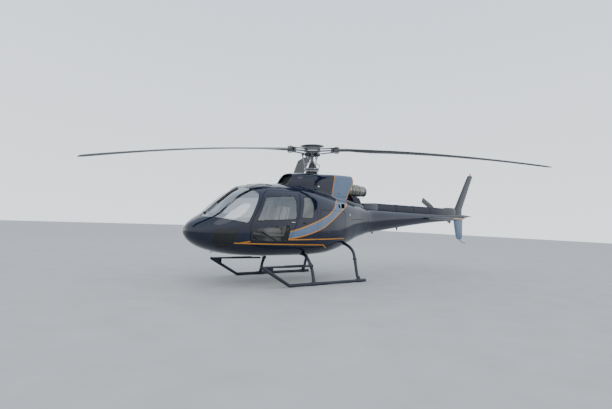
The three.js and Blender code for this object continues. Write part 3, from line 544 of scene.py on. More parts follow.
BOOM = Hull([
    [HULL_END + BOOM_GAP, *HULL.row(HULL_END + BOOM_GAP)],
    [1.906, 1.122, 1.838, 1.485, 0.358, 2.2, 2.1],
    [2.700, 1.235, 1.835, 1.555, 0.300, 2.2, 2.1],
    [3.900, 1.395, 1.830, 1.620, 0.230, 2.1, 2.1],
    [5.300, 1.545, 1.830, 1.690, 0.165, 2.0, 2.0],
    [6.500, 1.640, 1.850, 1.740, 0.110, 2.0, 2.0],
    [6.940, 1.690, 1.852, 1.770, 0.082, 2.0, 2.0],
    [7.050, 1.725, 1.845, 1.785, 0.060, 2.0, 2.0],
    [7.200, 1.758, 1.836, 1.798, 0.042, 2.0, 2.0],
    [7.400, 1.785, 1.822, 1.804, 0.024, 2.0, 2.0],
    [7.540, 1.800, 1.814, 1.807, 0.008, 2.0, 2.0],
])

COWL = Hull([
    [-1.000, 1.900, 2.480, 2.180, 0.205, 3.4, 3.2],
    [-0.880, 1.900, 2.520, 2.190, 0.235, 3.4, 3.2],
    [-0.700, 1.900, 2.562, 2.210, 0.300, 3.4, 3.2],
    [-0.480, 1.900, 2.592, 2.240, 0.400, 3.8, 3.2],
    [-0.250, 1.900, 2.602, 2.250, 0.450, 4.6, 3.4],
    [0.000, 1.850, 2.606, 2.250, 0.460, 5.6, 3.6],
    [0.500, 1.800, 2.630, 2.250, 0.462, 8.0, 4.0],
    [0.900, 1.800, 2.640, 2.250, 0.450, 9.0, 4.0],
    [1.300, 1.800, 2.645, 2.250, 0.420, 9.0, 4.0],
])


# Outlines on the port side, as y, z, corner radius

SILL = 0.945
OUTLINES = {
    "front_door": [(-2.250, SILL, 0.07), (-2.262, 1.330, 0.26), (-1.850, 1.990, 0.09), (-1.690, 2.085, 0.08),
                   (-0.885, 2.085, 0.09), (-1.075, 1.480, 0.20), (-1.335, SILL, 0.07)],
    "front_window": [(-2.125, 1.385, 0.06), (-1.820, 1.925, 0.09), (-1.035, 1.985, 0.11), (-1.115, 1.455, 0.07)],
    "front_pane": [(-2.212, 0.972, 0.06), (-2.210, 1.232, 0.07), (-1.300, 1.325, 0.05), (-1.352, 0.972, 0.06)],
    "rear_door": [(-1.323, SILL, 0.07), (-1.063, 1.480, 0.20), (-0.873, 2.085, 0.10), (-0.500, 2.070, 0.11),
                  (-0.480, SILL, 0.09)],
    "rear_window": [(-0.985, 1.485, 0.05), (-0.800, 1.975, 0.07), (-0.590, 1.975, 0.08), (-0.570, 1.790, 0.04),
                    (-0.640, 1.495, 0.05)],
    "baggage_door": [(-0.400, 1.030, 0.06), (-0.400, 1.700, 0.05), (0.520, 1.700, 0.05), (0.560, 1.120, 0.06)],
    "chin_window": [(-2.960, 1.140, 0.04), (-2.880, 1.205, 0.06), (-2.480, 1.212, 0.07), (-2.570, 0.860, 0.13),
                    (-2.790, 0.800, 0.09), (-2.930, 0.900, 0.06)],
    "windshield": [(-3.400, 1.446, 0.0), (-2.880, 1.432, 0.0), (-2.450, 1.362, 0.0), (-2.300, 1.338, 0.05),
                   (-1.930, 1.985, 0.09), (-2.030, 2.080, 0.10), (-2.250, 2.400, 0.0), (-3.400, 2.400, 0.0)],
}
SEAM = 0.007
DOOR_NAMES = ("front_door", "rear_door", "baggage_door")
PANE_NAMES = ("front_window", "front_pane", "rear_window", "chin_window", "windshield", "roof_window")
POST_HALF = 0.045
ROOF_WINDOW = {"inner": 0.06, "outer": 0.43, "front": -1.96, "back": -1.56, "corner": 0.06}
NOSE_BACK = -2.256
CABIN_BACK = -0.470
BELLY_BACK = 0.560
NOSE_LINE = [(-3.300, 1.444), (-2.880, 1.432), (-2.450, 1.362), (-2.300, 1.338), (NOSE_BACK, 1.338)]


def rounded(corners, inset=0.0, step=0.028):
    """Closed outline through corners with round ones, moved inward by a distance."""
    corners = np.array(corners, float)
    xy, radii = corners[:, :2], corners[:, 2]
    area = np.sum(xy[:, 0] * np.roll(xy[:, 1], -1) - np.roll(xy[:, 0], -1) * xy[:, 1])
    turn = np.sign(area)
    ahead = np.roll(xy, -1, 0) - xy
    ahead /= np.linalg.norm(ahead, axis=1)[:, None]
    behind = np.roll(ahead, 1, 0)
    normals = np.stack([-ahead[:, 1], ahead[:, 0]], 1) * turn
    both = normals + np.roll(normals, 1, 0)
    sharp = xy + both * (2 * inset / np.sum(both**2, 1))[:, None]
    bend = np.arccos(np.clip(np.sum(ahead * behind, 1), -1, 1))
    reach = np.where(radii > 0, np.maximum(radii - inset * np.tan(bend / 2), 0.004), 0)
    n = len(sharp)
    lengths = np.linalg.norm(np.roll(sharp, -1, 0) - sharp, axis=1)
    room = 0.47 * np.minimum(lengths, np.roll(lengths, 1))
    reach = np.minimum(reach, room)
    points = []
    for i in range(n):
        p, before, after = sharp[i], -behind[i], ahead[i]
        a, b = p + before * reach[i], p + after * reach[i]
        if reach[i] > 0:
            for t in np.linspace(0, 1, 8):
                points.append((1 - t) ** 2 * a + 2 * t * (1 - t) * p + t**2 * b)
        else:
            points.append(p)
        nxt = sharp[(i + 1) % n] - ahead[i] * reach[(i + 1) % n]
        parts = max(int(math.ceil(np.linalg.norm(nxt - b) / step)), 1)
        for k in range(1, parts):
            points.append(b + (nxt - b) * k / parts)
    return np.array(points)


ANGLE_SCALE = 0.95
U_SCALE = 1.7
LINE_STEP = 0.03
NEAR_LINE = 0.018
STRIP_STEP = 0.006


def flat_of(y, angle):
    """Flat coordinates in which the hull's skin is divided."""
    return np.stack([HULL.to_u(y) * U_SCALE, np.asarray(angle) * ANGLE_SCALE], -1)


def unflat(flat):
    return HULL.to_y(flat[..., 0] / U_SCALE), flat[..., 1] / ANGLE_SCALE


def flat_outline(name, inset=0.0):
    """Outline of an opening in flat coordinates."""
    if name == "roof_window":
        w = ROOF_WINDOW
        corners = [(w["front"], w["inner"], w["corner"]), (w["front"], w["outer"], w["corner"]),
                   (w["back"], w["outer"], w["corner"]), (w["back"], w["inner"], w["corner"])]
        points = rounded(corners, inset)
        return flat_of(points[:, 0], HULL.angle_at_x(points[:, 0], points[:, 1]))
    points = rounded(OUTLINES[name], inset)
    if name != "windshield":
        return flat_of(points[:, 0], HULL.angle_at_z(points[:, 0], points[:, 1]))
    y = np.maximum(points[:, 0], LENS_EDGE + 0.05)
    limit = HULL.angle_at_x(y, POST_HALF + inset)
    angle = HULL.angle_at_z(y, points[:, 1])
    keep = angle < limit - 0.004
    start = np.where(keep & ~np.roll(keep, 1))[0][0]
    order = (start + np.arange(len(points))) % len(points)
    chain = [i for i in order if keep[i]]
    edge = flat_of(y[chain], angle[chain])
    ys = np.linspace(y[chain[-1]], y[chain[0]], 40)
    post = flat_of(ys, HULL.angle_at_x(ys, POST_HALF + inset))
    return np.vstack([edge, post])


def inside(points, polygon):
    """Which points lie inside a closed polygon."""
    x, y = points[:, 0], points[:, 1]
    result = np.zeros(len(points), bool)
    a = polygon
    b = np.roll(polygon, -1, 0)
    for (x1, y1), (x2, y2) in zip(a, b):
        crosses = (y1 > y) != (y2 > y)
        if y1 != y2:
            result ^= crosses & (x < (x2 - x1) * (y - y1) / (y2 - y1) + x1)
    return result


# Paint lines on the port side, as y, z along their middles

STRIPE = 0.024
SWOOSH_TOP = [(-1.300, 1.178), (-0.900, 1.290), (-0.521, 1.420), (-0.250, 1.527), (-0.106, 1.595), (0.032, 1.689),
              (0.166, 1.791), (0.260, 1.893), (0.398, 1.984), (0.460, 2.060)]
SWOOSH_LOW = [(-1.345, 1.018), (-0.916, 1.095), (-0.342, 1.270), (-0.050, 1.437), (0.143, 1.548), (0.335, 1.665),
              (0.492, 1.745), (0.688, 1.842), (0.853, 1.928), (0.950, 1.985)]
LINE_HIGH = [(-1.345, 1.005), (0.531, 1.033)]
LINE_LOW = [(-2.562, 0.922), (-0.281, 0.885), (-0.129, 0.811)]
LINE_FORK = [(-2.440, 0.924), (-2.241, 0.962)]


def smooth_line(points, step=LINE_STEP):
    """Points along a smooth curve through a few given ones."""
    points = np.array(points, float)
    along = np.concatenate([[0], np.cumsum(np.linalg.norm(np.diff(points, axis=0), axis=1))])
    at = np.linspace(0, along[-1], max(int(along[-1] / step), 2))
    return curve_at(along, points, slopes_of(along, points), at)


def band(points, width):
    """Closed outline of a band along a line."""
    points = np.asarray(points, float)
    along = np.gradient(points, axis=0)
    along /= np.linalg.norm(along, axis=1)[:, None]
    side = np.stack([-along[:, 1], along[:, 0]], 1) * width / 2
    return np.vstack([points + side, (points - side)[::-1]])


def side_to_flat(points):
    """Flat coordinates of places given as y, z on the side."""
    return flat_of(points[:, 0], HULL.angle_at_z(points[:, 0], points[:, 1]))


def paint_zones():
    """Colours and flat outlines of what isn't navy."""
    top, low = smooth_line(SWOOSH_TOP), smooth_line(SWOOSH_LOW)
    zones = [("blue", side_to_flat(np.vstack([top, low[::-1]])))]
    lines = [top, low, smooth_line(LINE_HIGH), dense(LINE_LOW), smooth_line(LINE_FORK)]
    zones += [("orange", side_to_flat(band(line, STRIPE))) for line in lines]
    return zones


def dense(points, step=LINE_STEP):
    """Points along straight stretches."""
    out = []
    for a, b in zip(points[:-1], points[1:]):
        a, b = np.array(a), np.array(b)
        n = max(int(np.linalg.norm(b - a) / step), 1)
        out += [a + (b - a) * k / n for k in range(n)]
    return np.array(out + [np.array(points[-1])])


# Fuselage skin: one division of the port side's surface gives every panel and pane

def divide_skin():
    """Divides the port side into triangles along all outlines. Returns flat points and triangles."""
    lines = []
    for name in DOOR_NAMES:
        lines += [flat_outline(name), flat_outline(name, SEAM)]
    lines += [flat_outline(name) for name in PANE_NAMES]
    closed = [np.vstack([line, line[:1]]) for line in lines]
    closed += [np.vstack([zone, zone[:1]]) for _, zone in paint_zones()]
    floor_angle, top_angle = -math.pi / 2, math.pi / 2

    def level(z, y0, y1):
        ys = np.arange(y0, y1 + 0.001, LINE_STEP)
        return flat_of(ys, HULL.angle_at_z(ys, np.full(len(ys), z)))

    def upright(y, a0, a1):
        angles = np.linspace(a0, a1, max(int(abs(a1 - a0) / 0.05), 2))
        return flat_of(np.full(len(angles), y), angles)

    sill_at = lambda y: float(HULL.angle_at_z(y, SILL))
    nose_line = dense(NOSE_LINE)
    open_lines = [
        level(SILL, NOSE_BACK, BELLY_BACK),
        upright(NOSE_BACK, floor_angle, float(HULL.angle_at_z(NOSE_BACK, 1.338))),
        upright(CABIN_BACK, sill_at(CABIN_BACK), top_angle),
        upright(BELLY_BACK, floor_angle, sill_at(BELLY_BACK)),
        side_to_flat(nose_line),
        upright(LENS_EDGE, floor_angle, top_angle),
        upright(HULL_END, floor_angle, top_angle),
    ]
    ys = np.linspace(LENS_EDGE, HULL_END, 150)
    open_lines += [flat_of(ys, np.full(150, floor_angle)), flat_of(ys, np.full(150, top_angle))]

    points, edges = [], []
    for line in closed + open_lines:
        start = len(points)
        points += list(map(tuple, line))
        edges += [(start + i, start + i + 1) for i in range(len(line) - 1)]
    fixed = np.array(points)

    grid = []
    y = LENS_EDGE
    while y < HULL_END - 0.02:
        y += 0.022 + 0.022 * min((y - LENS_EDGE) / 0.5, 1.0)
        shift = 0.5 * (len(grid) % 2)
        angles = floor_angle + (np.arange(1, 44) + shift) / 44.5 * math.pi
        grid.append(flat_of(np.full(len(angles), y), angles))
    grid = np.concatenate(grid)
    near = np.zeros(len(grid), bool)
    for k in range(0, len(fixed), 400):
        gap = np.linalg.norm(grid[:, None, :] - fixed[None, k:k + 400, :], axis=2)
        near |= gap.min(1) < NEAR_LINE
    grid = grid[~near & (grid[:, 0] < fixed[:, 0].max() - 0.01)]
    verts = [Vector(p) for p in points] + [Vector(p) for p in map(tuple, grid)]
    out, _, faces, _, _, _ = delaunay_2d_cdt(verts, edges, [], 0, 1e-5)
    flat = np.array([tuple(v) for v in out])
    return flat, np.array([f for f in faces if len(f) == 3])


def sort_skin():
    """Panel and paint of every triangle of the port side."""
    flat, faces = divide_skin()
    middle = flat[faces].mean(1)
    y, angle = unflat(middle)
    place = HULL.point(y, angle)
    z = place[:, 2]
    nose_z = np.interp(y, [p[0] for p in NOSE_LINE], [p[1] for p in NOSE_LINE])
    panel = np.full(len(faces), "canopy_frame", dtype=object)
    panel[(y > CABIN_BACK) & (z > SILL)] = "rear_body_shell"
    panel[y > BELLY_BACK] = "rear_body_shell"
    panel[(z < SILL) & (y < BELLY_BACK)] = "belly_shell"
    panel[(y < NOSE_BACK) & (z < nose_z)] = "nose_shell"
    for name in DOOR_NAMES:
        panel[inside(middle, flat_outline(name))] = "gap"
        panel[inside(middle, flat_outline(name, SEAM))] = name
    for name in PANE_NAMES:
        panel[inside(middle, flat_outline(name))] = name
    paint = np.full(len(faces), "navy", dtype=object)
    for colour, zone in paint_zones():
        paint[inside(middle, zone)] = colour
    return flat, faces, panel, paint


def skin_shell(flat, faces, paints, outer, inner, side, both):
    """Closed shell over some triangles: points, faces, paints and corner normals.

    outer and inner are the depths of its two faces below the hull's surface. side is 1 for
    port and -1 for starboard; both makes one shell of the two sides."""
    used, packed = np.unique(faces, return_inverse=True)
    faces = packed.reshape(faces.shape)
    y, angle = unflat(flat[used])
    surface_points = HULL.point(y, angle)
    surface_points[np.abs(angle) > math.pi / 2 - 1e-4, 0] = 0.0
    normals = HULL.normal(surface_points)
    normals[surface_points[:, 0] < 1e-6, 0] = 0.0
    normals /= np.linalg.norm(normals, axis=1)[:, None]
    area = np.cross(surface_points[faces[:, 1]] - surface_points[faces[:, 0]],
                    surface_points[faces[:, 2]] - surface_points[faces[:, 0]])
    wrong = np.sum(area * normals[faces[:, 0]], 1) < 0
    faces[wrong] = faces[wrong][:, ::-1]
    paints = list(paints)
    if both:
        n = len(used)
        middle = np.abs(surface_points[:, 0]) < 1e-6
        twin = np.where(middle, np.arange(n), np.arange(n) + n)
        mirror = np.array([-1.0, 1.0, 1.0])
        surface_points = np.vstack([surface_points, surface_points * mirror])
        normals = np.vstack([normals, normals * mirror])
        faces = np.vstack([faces, twin[faces][:, ::-1]])
        paints = paints * 2
    elif side < 0:
        surface_points = surface_points * [-1, 1, 1]
        normals = normals * [-1, 1, 1]
        faces = faces[:, ::-1]
    return thicken(surface_points, normals, faces, paints, outer, inner, "liner")


def skin_piece(name, body, shell, replaces=(), extra=None):
    """Piece from one shell, keeping the hull's own normals, with extra solids joined to it."""
    points, faces, paints, corner = shell
    names = list(dict.fromkeys(paints))
    mesh = bpy.data.meshes.new(name)
    slots = [names.index(p) for p in paints]
    points = list(points)
    if extra and extra.points:
        start = len(points)
        for p in extra.names:
            if p not in names:
                names.append(p)
        points += list(np.concatenate(extra.points))
        faces = faces + [tuple(i + start for i in f) for f in extra.faces]
        slots += [names.index(extra.names[s]) for s in extra.slots]
    mesh.from_pydata((np.array(points) + SHIFT).tolist(), [], faces)
    mesh.polygons.foreach_set("material_index", slots)
    mesh.polygons.foreach_set("use_smooth", [True] * len(faces))
    for p in names:
        mesh.materials.append(MATERIALS[p])
    mesh.update()
    if extra and extra.points:
        normals = np.array([tuple(n.vector) for n in mesh.corner_normals])
        normals[:len(corner)] = corner
        corner = normals
    mesh.normals_split_custom_set([tuple(n) for n in corner])
    return place_piece(name, mesh, body, replaces)


def surface_path(flat, depth, side):
    """Points and normals of a line on the hull, given in flat coordinates."""
    y, angle = unflat(flat)
    points = HULL.point(y, angle)
    normals = HULL.normal(points)
    mirror = np.array([side, 1.0, 1.0])
    return points * mirror - normals * mirror * depth, normals * mirror


STRIP_SECTION = [(-0.5, -0.5), (0.5, -0.5), (0.5, 0.3), (0.25, 0.5), (-0.25, 0.5), (-0.5, 0.3)]


def surface_strip(shape, flat, width, height, depth, material, side=1, closed=True):
    """Strip that lies on the hull along a line. depth is that of the strip's middle."""
    keep = [0]
    for i in range(1, len(flat)):
        if np.linalg.norm(flat[i] - flat[keep[-1]]) > STRIP_STEP:
            keep.append(i)
    if closed and np.linalg.norm(flat[keep[-1]] - flat[0]) < STRIP_STEP:
        keep.pop()
    points, normals = surface_path(flat[keep], depth, side)
    section = np.array(STRIP_SECTION) * [width, height]
    sweep(shape, points, section, material, closed, up=normals)


DOORS = {
    "front_door": ["front_window", "front_pane"],
    "rear_door": ["rear_window"],
    "baggage_door": [],
}
SEAL_WIDTH = {"front_window": 0.020, "front_pane": 0.010, "rear_window": 0.010}
PANE_PAINT = {"front_window": "glass", "front_pane": "low_pane", "rear_window": "rear_pane",
              "windshield": "windshield", "chin_window": "tint", "roof_window": "tint"}
GLASS_NODES = {"front_window": "front_door_window", "front_pane": "front_door_pane",
               "rear_window": "rear_door_window"}
PANEL_DEPTH = {"nose_shell": 0.030, "belly_shell": 0.030, "canopy_frame": 0.038, "rear_body_shell": 0.030}
DOOR_DEPTH = 0.034
PANE_OUTER, PANE_INNER = 0.004, 0.009


def make_fuselage():
    flat, faces, panel, paint = sort_skin()

    def shell(name, outer, inner, side=1, both=False):
        chosen = panel == name
        return skin_shell(flat, faces[chosen], paint[chosen], outer, inner, side, both)

    def glass(pane, side):
        points, quads, _, corner = shell(pane, PANE_OUTER, PANE_INNER, side)
        return points, quads, [PANE_PAINT[pane]] * len(quads), corner

    for name, depth in PANEL_DEPTH.items():
        extra = Shape()
        for side in (1, -1):
            add_panel_trim(extra, name, side)
        skin_piece(name + "_skin", "airframe", shell(name, 0.0, depth, both=True), [name],
                   extra)

    for word, side in (("left", 1), ("right", -1)):
        for name, panes in DOORS.items():
            body = f"{word}_{name}"
            extra = Shape()
            add_door_trim(extra, name, panes, side)
            skin_piece(body + "_skin", body, shell(name, 0.0, DOOR_DEPTH, side), [body], extra)
            for pane in panes:
                skin_piece(f"{body}_{pane}_glass", body, glass(pane, side), [f"{word}_{GLASS_NODES[pane]}"])
        for pane in ("windshield", "chin_window", "roof_window"):
            skin_piece(f"{pane}_{word}_glass", "airframe", glass(pane, side), [f"{pane}_{word}"])


def add_panel_trim(shape, name, side):
    seals = {"canopy_frame": ["windshield", "roof_window"], "nose_shell": ["chin_window"]}.get(name, [])
    for pane in seals:
        surface_strip(shape, flat_outline(pane, 0.002), 0.010, 0.006, 0.001, "rubber", side)
    if name == "canopy_frame":
        for door in ("front_door", "rear_door"):
            surface_strip(shape, flat_outline(door, -0.004), 0.026, 0.006, 0.040, "rubber", side)
    if name == "rear_body_shell":
        surface_strip(shape, flat_outline("baggage_door", -0.004), 0.026, 0.006, 0.034, "rubber", side)


def add_door_trim(shape, name, panes, side):
    for pane in panes:
        surface_strip(shape, flat_outline(pane, 0.002), SEAL_WIDTH[pane], 0.006, 0.001, "rubber", side)
    if name == "front_door":
        add_handle(shape, side, -1.223, 1.385, "white")
    if name == "rear_door":
        add_handle(shape, side, -0.900, 1.385, "dark_metal", 0.08)
    if name == "baggage_door":
        for y in (-0.15, 0.27):
            add_handle(shape, side, y, 1.16, "dark_metal", 0.06)


# Cowlings over the gearbox and engine

COWL_WALL = 0.014
COWL_FRONT = ([2.00, 2.24, 2.53, 2.70], [-1.085, -0.930, -0.742, -0.632])
COWL_REAR = ([1.70, 1.97, 2.163, 2.315, 2.43, 2.50, 2.62, 2.70],
             [0.660, 0.800, 0.905, 1.005, 1.065, 1.065, 1.030, 1.020])
COWL_SPLIT = ([1.70, 2.10, 2.60, 2.90], [0.230, 0.300, 0.388, 0.441])
COWL_MID = -0.270
COWL_AFT = 1.2
MAST_MIDDLE = 0.010
MAST_HOLE = 0.175


def thicken(points, normals, faces, paints, outer, inner, inner_paint):
    """Closed shell over a surface: its outer face lies outer below it and its inner face inner below."""
    n = len(points)
    both = np.vstack([points - normals * outer, points - normals * inner])
    edges = {}
    for k, f in enumerate(faces):
        for a, b in zip(f, np.roll(f, -1)):
            edges[(int(a), int(b))] = k
    all_faces = [tuple(int(i) for i in f) for f in faces]
    all_faces += [tuple(int(i) + n for i in f[::-1]) for f in faces]
    all_paints = list(paints) + [inner_paint] * len(faces)
    corner = [normals[i] for f in faces for i in f] + [-normals[i] for f in faces for i in f[::-1]]
    for (a, b), k in edges.items():
        if (b, a) in edges:
            continue
        all_faces.append((b, a, a + n, b + n))
        all_paints.append(paints[k])
        across = np.cross(both[a] - both[b], both[a + n] - both[b])
        corner += [across / (np.linalg.norm(across) + 1e-12)] * 4
    return both, all_faces, all_paints, corner


def cowl_foot(y):
    """Angle on the cowl's section at which it meets the fuselage."""
    low, high = np.full(len(y), -math.pi / 2), np.full(len(y), 1.2)
    for _ in range(30):
        middle = (low + high) / 2
        point = COWL.point(y, middle)
        x = np.minimum(point[:, 0], HULL.row(y)[3] * 0.999)
        deep = point[:, 2] < HULL.point(y, HULL.angle_at_x(y, x))[:, 2] - 0.012
        low, high = np.where(deep, middle, low), np.where(deep, high, middle)
    return (low + high) / 2


def cowl_grid(front, rear, stops, columns=26):
    """Grid over the cowl's port half between two slanted ends. stops are places from 0 to 1."""
    ys = np.linspace(-0.999, 1.29, 160)
    foot = cowl_foot(ys)
    t = np.asarray(stops)[:, None]
    v = np.linspace(0, 1, columns)[None, :]
    y = np.tile(np.array([front[1][1] + (rear[1][1] - front[1][1]) * s for s in stops])[:, None], (1, columns))
    for _ in range(12):
        start = np.interp(y, ys, foot)
        angle = start + v * (math.pi / 2 - start)
        z = COWL.point(y.ravel(), angle.ravel())[:, 2].reshape(y.shape)
        y = np.interp(z, *front) * (1 - t) + np.interp(z, *rear) * t
    return y, angle


def cowl_surface(front, rear, stops, lift=0.0):
    """Points, normals and faces over both sides, and the points in a row."""
    y, angle = cowl_grid(front, rear, stops)
    port = COWL.point(y.ravel(), angle.ravel()).reshape(*y.shape, 3)
    port[:, -1, 0] = 0.0
    normal = COWL.normal(port)
    mirror = np.array([-1.0, 1.0, 1.0])
    points = np.concatenate([port, (port * mirror)[:, -2::-1]], 1)
    normals = np.concatenate([normal, (normal * mirror)[:, -2::-1]], 1)
    rows, columns = points.shape[:2]
    faces = [(i * columns + j, i * columns + j + 1, (i + 1) * columns + j + 1, (i + 1) * columns + j)
             for i in range(rows - 1) for j in range(columns - 1)]
    points, normals = points.reshape(-1, 3), normals.reshape(-1, 3)
    across = np.cross(points[faces[0][1]] - points[faces[0][0]], points[faces[0][2]] - points[faces[0][0]])
    if np.dot(across, normals[faces[0][0]]) < 0:
        faces = [f[::-1] for f in faces]
    return points + normals * lift, normals, faces, columns


def plane_at(y):
    return ([1.70, 2.70], [y] * 2)


def shifted(line, step):
    return (line[0], [y + step for y in line[1]])


def even(n):
    return np.linspace(0, 1, n)


def merge_shells(shells):
    """One shell tuple from several."""
    points, faces, paints, corner = [], [], [], []
    count = 0
    for p, f, c, n in shells:
        points.append(p)
        faces += [tuple(i + count for i in face) for face in f]
        paints += c
        corner += list(n)
        count += len(p)
    return np.vstack(points), faces, paints, corner


def cowl_edge(shape, line, radius, material, lift=0.0):
    """Thin rounded strip over the cowl along one of its end curves."""
    points, normals, _, columns = cowl_surface(line, plane_at(COWL_AFT), [0.0, 1.0], lift)
    tube(shape, points[:columns], radius, material, 8, up=normals[:columns])


def cowl_latch(shape, y, z, material):
    for side in (1, -1):
        x = float(COWL.half_width(np.array([y]), np.array([z]))[0]) * side
        block(shape, (x - 0.004, y - 0.025, z - 0.014), (x + 0.004, y + 0.025, z + 0.014), material, 0.002)


def add_intake_grille_and_shade(shape):
    """Screen across the air intake, set back from its rim: black plates painted as the shade inside the intake, with a
    grille of thin rods in front of them.
    """
    points, normals, _, columns = cowl_surface(shifted(COWL_FRONT, 0.10), plane_at(COWL_AFT), [0.0, 1.0])
    arc = points[:columns] - normals[:columns] * (COWL_WALL + 0.002)
    half = columns // 2
    port, starboard = arc[:half + 1], arc[:half - 1:-1] if half * 2 + 1 == columns else arc[:half:-1]
    back = np.array([0, 0.02, 0])
    # black plates across the mouth: painted shade of the intake's inside
    for k in range(half):
        corners = [port[k], port[k + 1], starboard[k + 1], starboard[k]]
        loft(shape, [corners, [c + back for c in corners]], "black")
    for k in range(2, half, 3):
        a, b = port[k] - back * 0.5, starboard[k] - back * 0.5
        rod(shape, a, b, 0.004, "dark_metal", sides=6)
    for share in np.linspace(0.12, 0.88, 9):
        column = port * (1 - share) + starboard * share - back * 0.6
        tube(shape, column[:-1], 0.004, "dark_metal", 6, up=(1, 0, 0))


def make_cowlings():
    gap = 0.003
    front_part = cowl_surface(COWL_FRONT, plane_at(COWL_MID - gap), even(30))
    middle_part = cowl_surface(plane_at(COWL_MID + gap), shifted(COWL_SPLIT, -gap), even(26))
    shells = []
    for points, normals, faces, _ in (front_part, middle_part):
        kept = [f for f in faces if np.hypot(*(points[list(f)].mean(0)[:2] - [0, MAST_MIDDLE])) > MAST_HOLE
                or points[list(f)].mean(0)[2] < 2.5]
        shells.append(thicken(points, normals, kept, ["navy"] * len(kept), 0.0, COWL_WALL, "black"))
    trim = Shape()
    cowl_edge(trim, shifted(COWL_FRONT, 0.012), 0.018, "navy", -0.010)
    add_intake_grille_and_shade(trim)
    lathe(trim, [(0.160, -0.030), (0.205, -0.030), (0.205, 0.004), (0.195, 0.014), (0.175, 0.016), (0.160, 0.008),
                 (0.160, -0.030)], "navy", (0, MAST_MIDDLE, 2.606), "z", 48)
    cowl_latch(trim, -0.128, 2.275, "white")
    cowl_latch(trim, -0.50, 2.300, "dark_metal")
    cowl_latch(trim, 0.20, 2.230, "dark_metal")
    skin_piece("gearbox_cowling_skin", "airframe", merge_shells(shells), ["gearbox_cowling"], trim)

    edge = STRIPE / 0.66
    stops = [0, edge, *np.linspace(edge, 1 - edge, 24)[1:-1], 1 - edge, 1]
    points, normals, faces, columns = cowl_surface(COWL_SPLIT, COWL_REAR, stops)
    ends = columns - 1
    paints = ["orange" if k < ends or k >= len(faces) - ends else "blue"
              for k in range(len(faces))]
    trim = Shape()
    cowl_latch(trim, 0.55, 2.150, "dark_metal")
    skin_piece("engine_cowling_skin", "airframe",
               thicken(points, normals, faces, paints, 0.0, COWL_WALL, "black"), ["engine_cowling"], trim)


def grid_shell(grid, paints, thickness, side):
    """Closed shell over a grid of points whose outer face looks up and outward. paints are one
    for each row of cells."""
    rows, columns = grid.shape[:2]
    normal = np.cross(np.gradient(grid, axis=0), np.gradient(grid, axis=1))
    normal /= np.linalg.norm(normal, axis=-1)[..., None] + 1e-12
    points, normals = grid.reshape(-1, 3), normal.reshape(-1, 3)
    faces = [(i * columns + j, (i + 1) * columns + j, (i + 1) * columns + j + 1, i * columns + j + 1)
             for i in range(rows - 1) for j in range(columns - 1)]
    if normals[:, 2].sum() < 0:
        normals = -normals
        faces = [f[::-1] for f in faces]
    if side < 0:
        points, normals = points * [-1, 1, 1], normals * [-1, 1, 1]
        faces = [f[::-1] for f in faces]
    painted = [paints[k // (columns - 1)] for k in range(len(faces))]
    return thicken(points, normals, faces, painted, 0.0, thickness, "black")


# Fillet between the cowl and the fuselage: height of its upper edge on the cowl and half width
# of its lower edge on the fuselage, and how far aft its lower edge lies

FILLET_TOP = ([-0.62, -0.57, -0.10, 0.30, 0.45, 0.812], [2.255, 2.250, 2.190, 2.105, 2.060, 2.034])
FILLET_FOOT = ([-0.62, -0.606, -0.125, 0.398, 0.853], [0.480, 0.495, 0.510, 0.523, 0.423])
FILLET_AFT = ([-0.62, 0.0, 0.30, 0.812], [-0.62, 0.03, 0.398, 0.853])
FLANGE = [(0.47, -0.57), (0.47, -0.65), (0.43, -0.80), (0.37, -0.94), (0.29, -1.04), (0.15, -1.075), (0.0, -1.08)]


def hull_points(ys, zs):
    """Points on the fuselage's port side at some places aft and heights."""
    ys = np.array(ys, float)
    return HULL.point(ys, HULL.angle_at_z(ys, np.array(zs, float)))


def hull_top(x, y):
    """Height of the fuselage's upper side over a place seen from above."""
    y = np.asarray(y, float)
    return HULL.point(y, HULL.angle_at_x(y, x))[..., 2]


def make_fillet():
    half = STRIPE / 2
    ys = np.concatenate([np.linspace(-0.62, 0.30 - half, 40), np.linspace(0.30 + half, 0.812 - 2 * half, 30),
                         [0.812]])
    paints = ["navy"] * 39 + ["orange"] + ["blue"] * 29 + ["orange"]
    top_z = np.interp(ys, *FILLET_TOP)
    top = np.stack([COWL.half_width(ys, top_z) + 0.002, ys, top_z], 1)
    foot_y = np.interp(ys, *FILLET_AFT)
    foot_x = np.interp(foot_y, *FILLET_FOOT)
    foot = np.stack([foot_x, foot_y, hull_top(foot_x, foot_y)], 1)
    foot += HULL.normal(foot) * 0.012
    corner = np.stack([top[:, 0], (ys + foot_y) / 2, hull_top(top[:, 0], (ys + foot_y) / 2) + 0.006], 1)
    v = np.linspace(0, 1, 12)[None, :, None]
    grid = top[:, None] * (1 - v) ** 2 + corner[:, None] * 2 * v * (1 - v) + foot[:, None] * v ** 2
    lip = Shape()
    for side in (1, -1):
        mirror = np.array([side, 1, 1])
        for a, b, material in ((0, 40, "navy"), (40, 70, "blue")):
            line = (foot - [0.003, 0, 0.007]) * mirror
            tube(lip, line[a:b + 1], 0.009, material, 10)
    skin_piece("cowl_fillet_skin", "airframe",
               merge_shells([grid_shell(grid, paints, 0.006, side) for side in (1, -1)]), (), lip)

    edge = smooth_line(FLANGE, 0.03)
    inner = edge * [0.72, 1.0] + [0.0, 0.10]
    rows = []
    for share, lift in ((0.0, -0.006), (0.0, 0.008), (0.03, 0.013), (0.12, 0.014), (1.0, 0.014)):
        x, y = (edge * (1 - share) + inner * share).T
        rows.append(np.stack([x, y, hull_top(x, y) + lift], 1))
    grid = np.array(rows).transpose(1, 0, 2)
    shells = [grid_shell(grid, ["navy"] * (len(grid) - 1), 0.004, side) for side in (1, -1)]
    skin_piece("cowl_flange_skin", "airframe", merge_shells(shells))


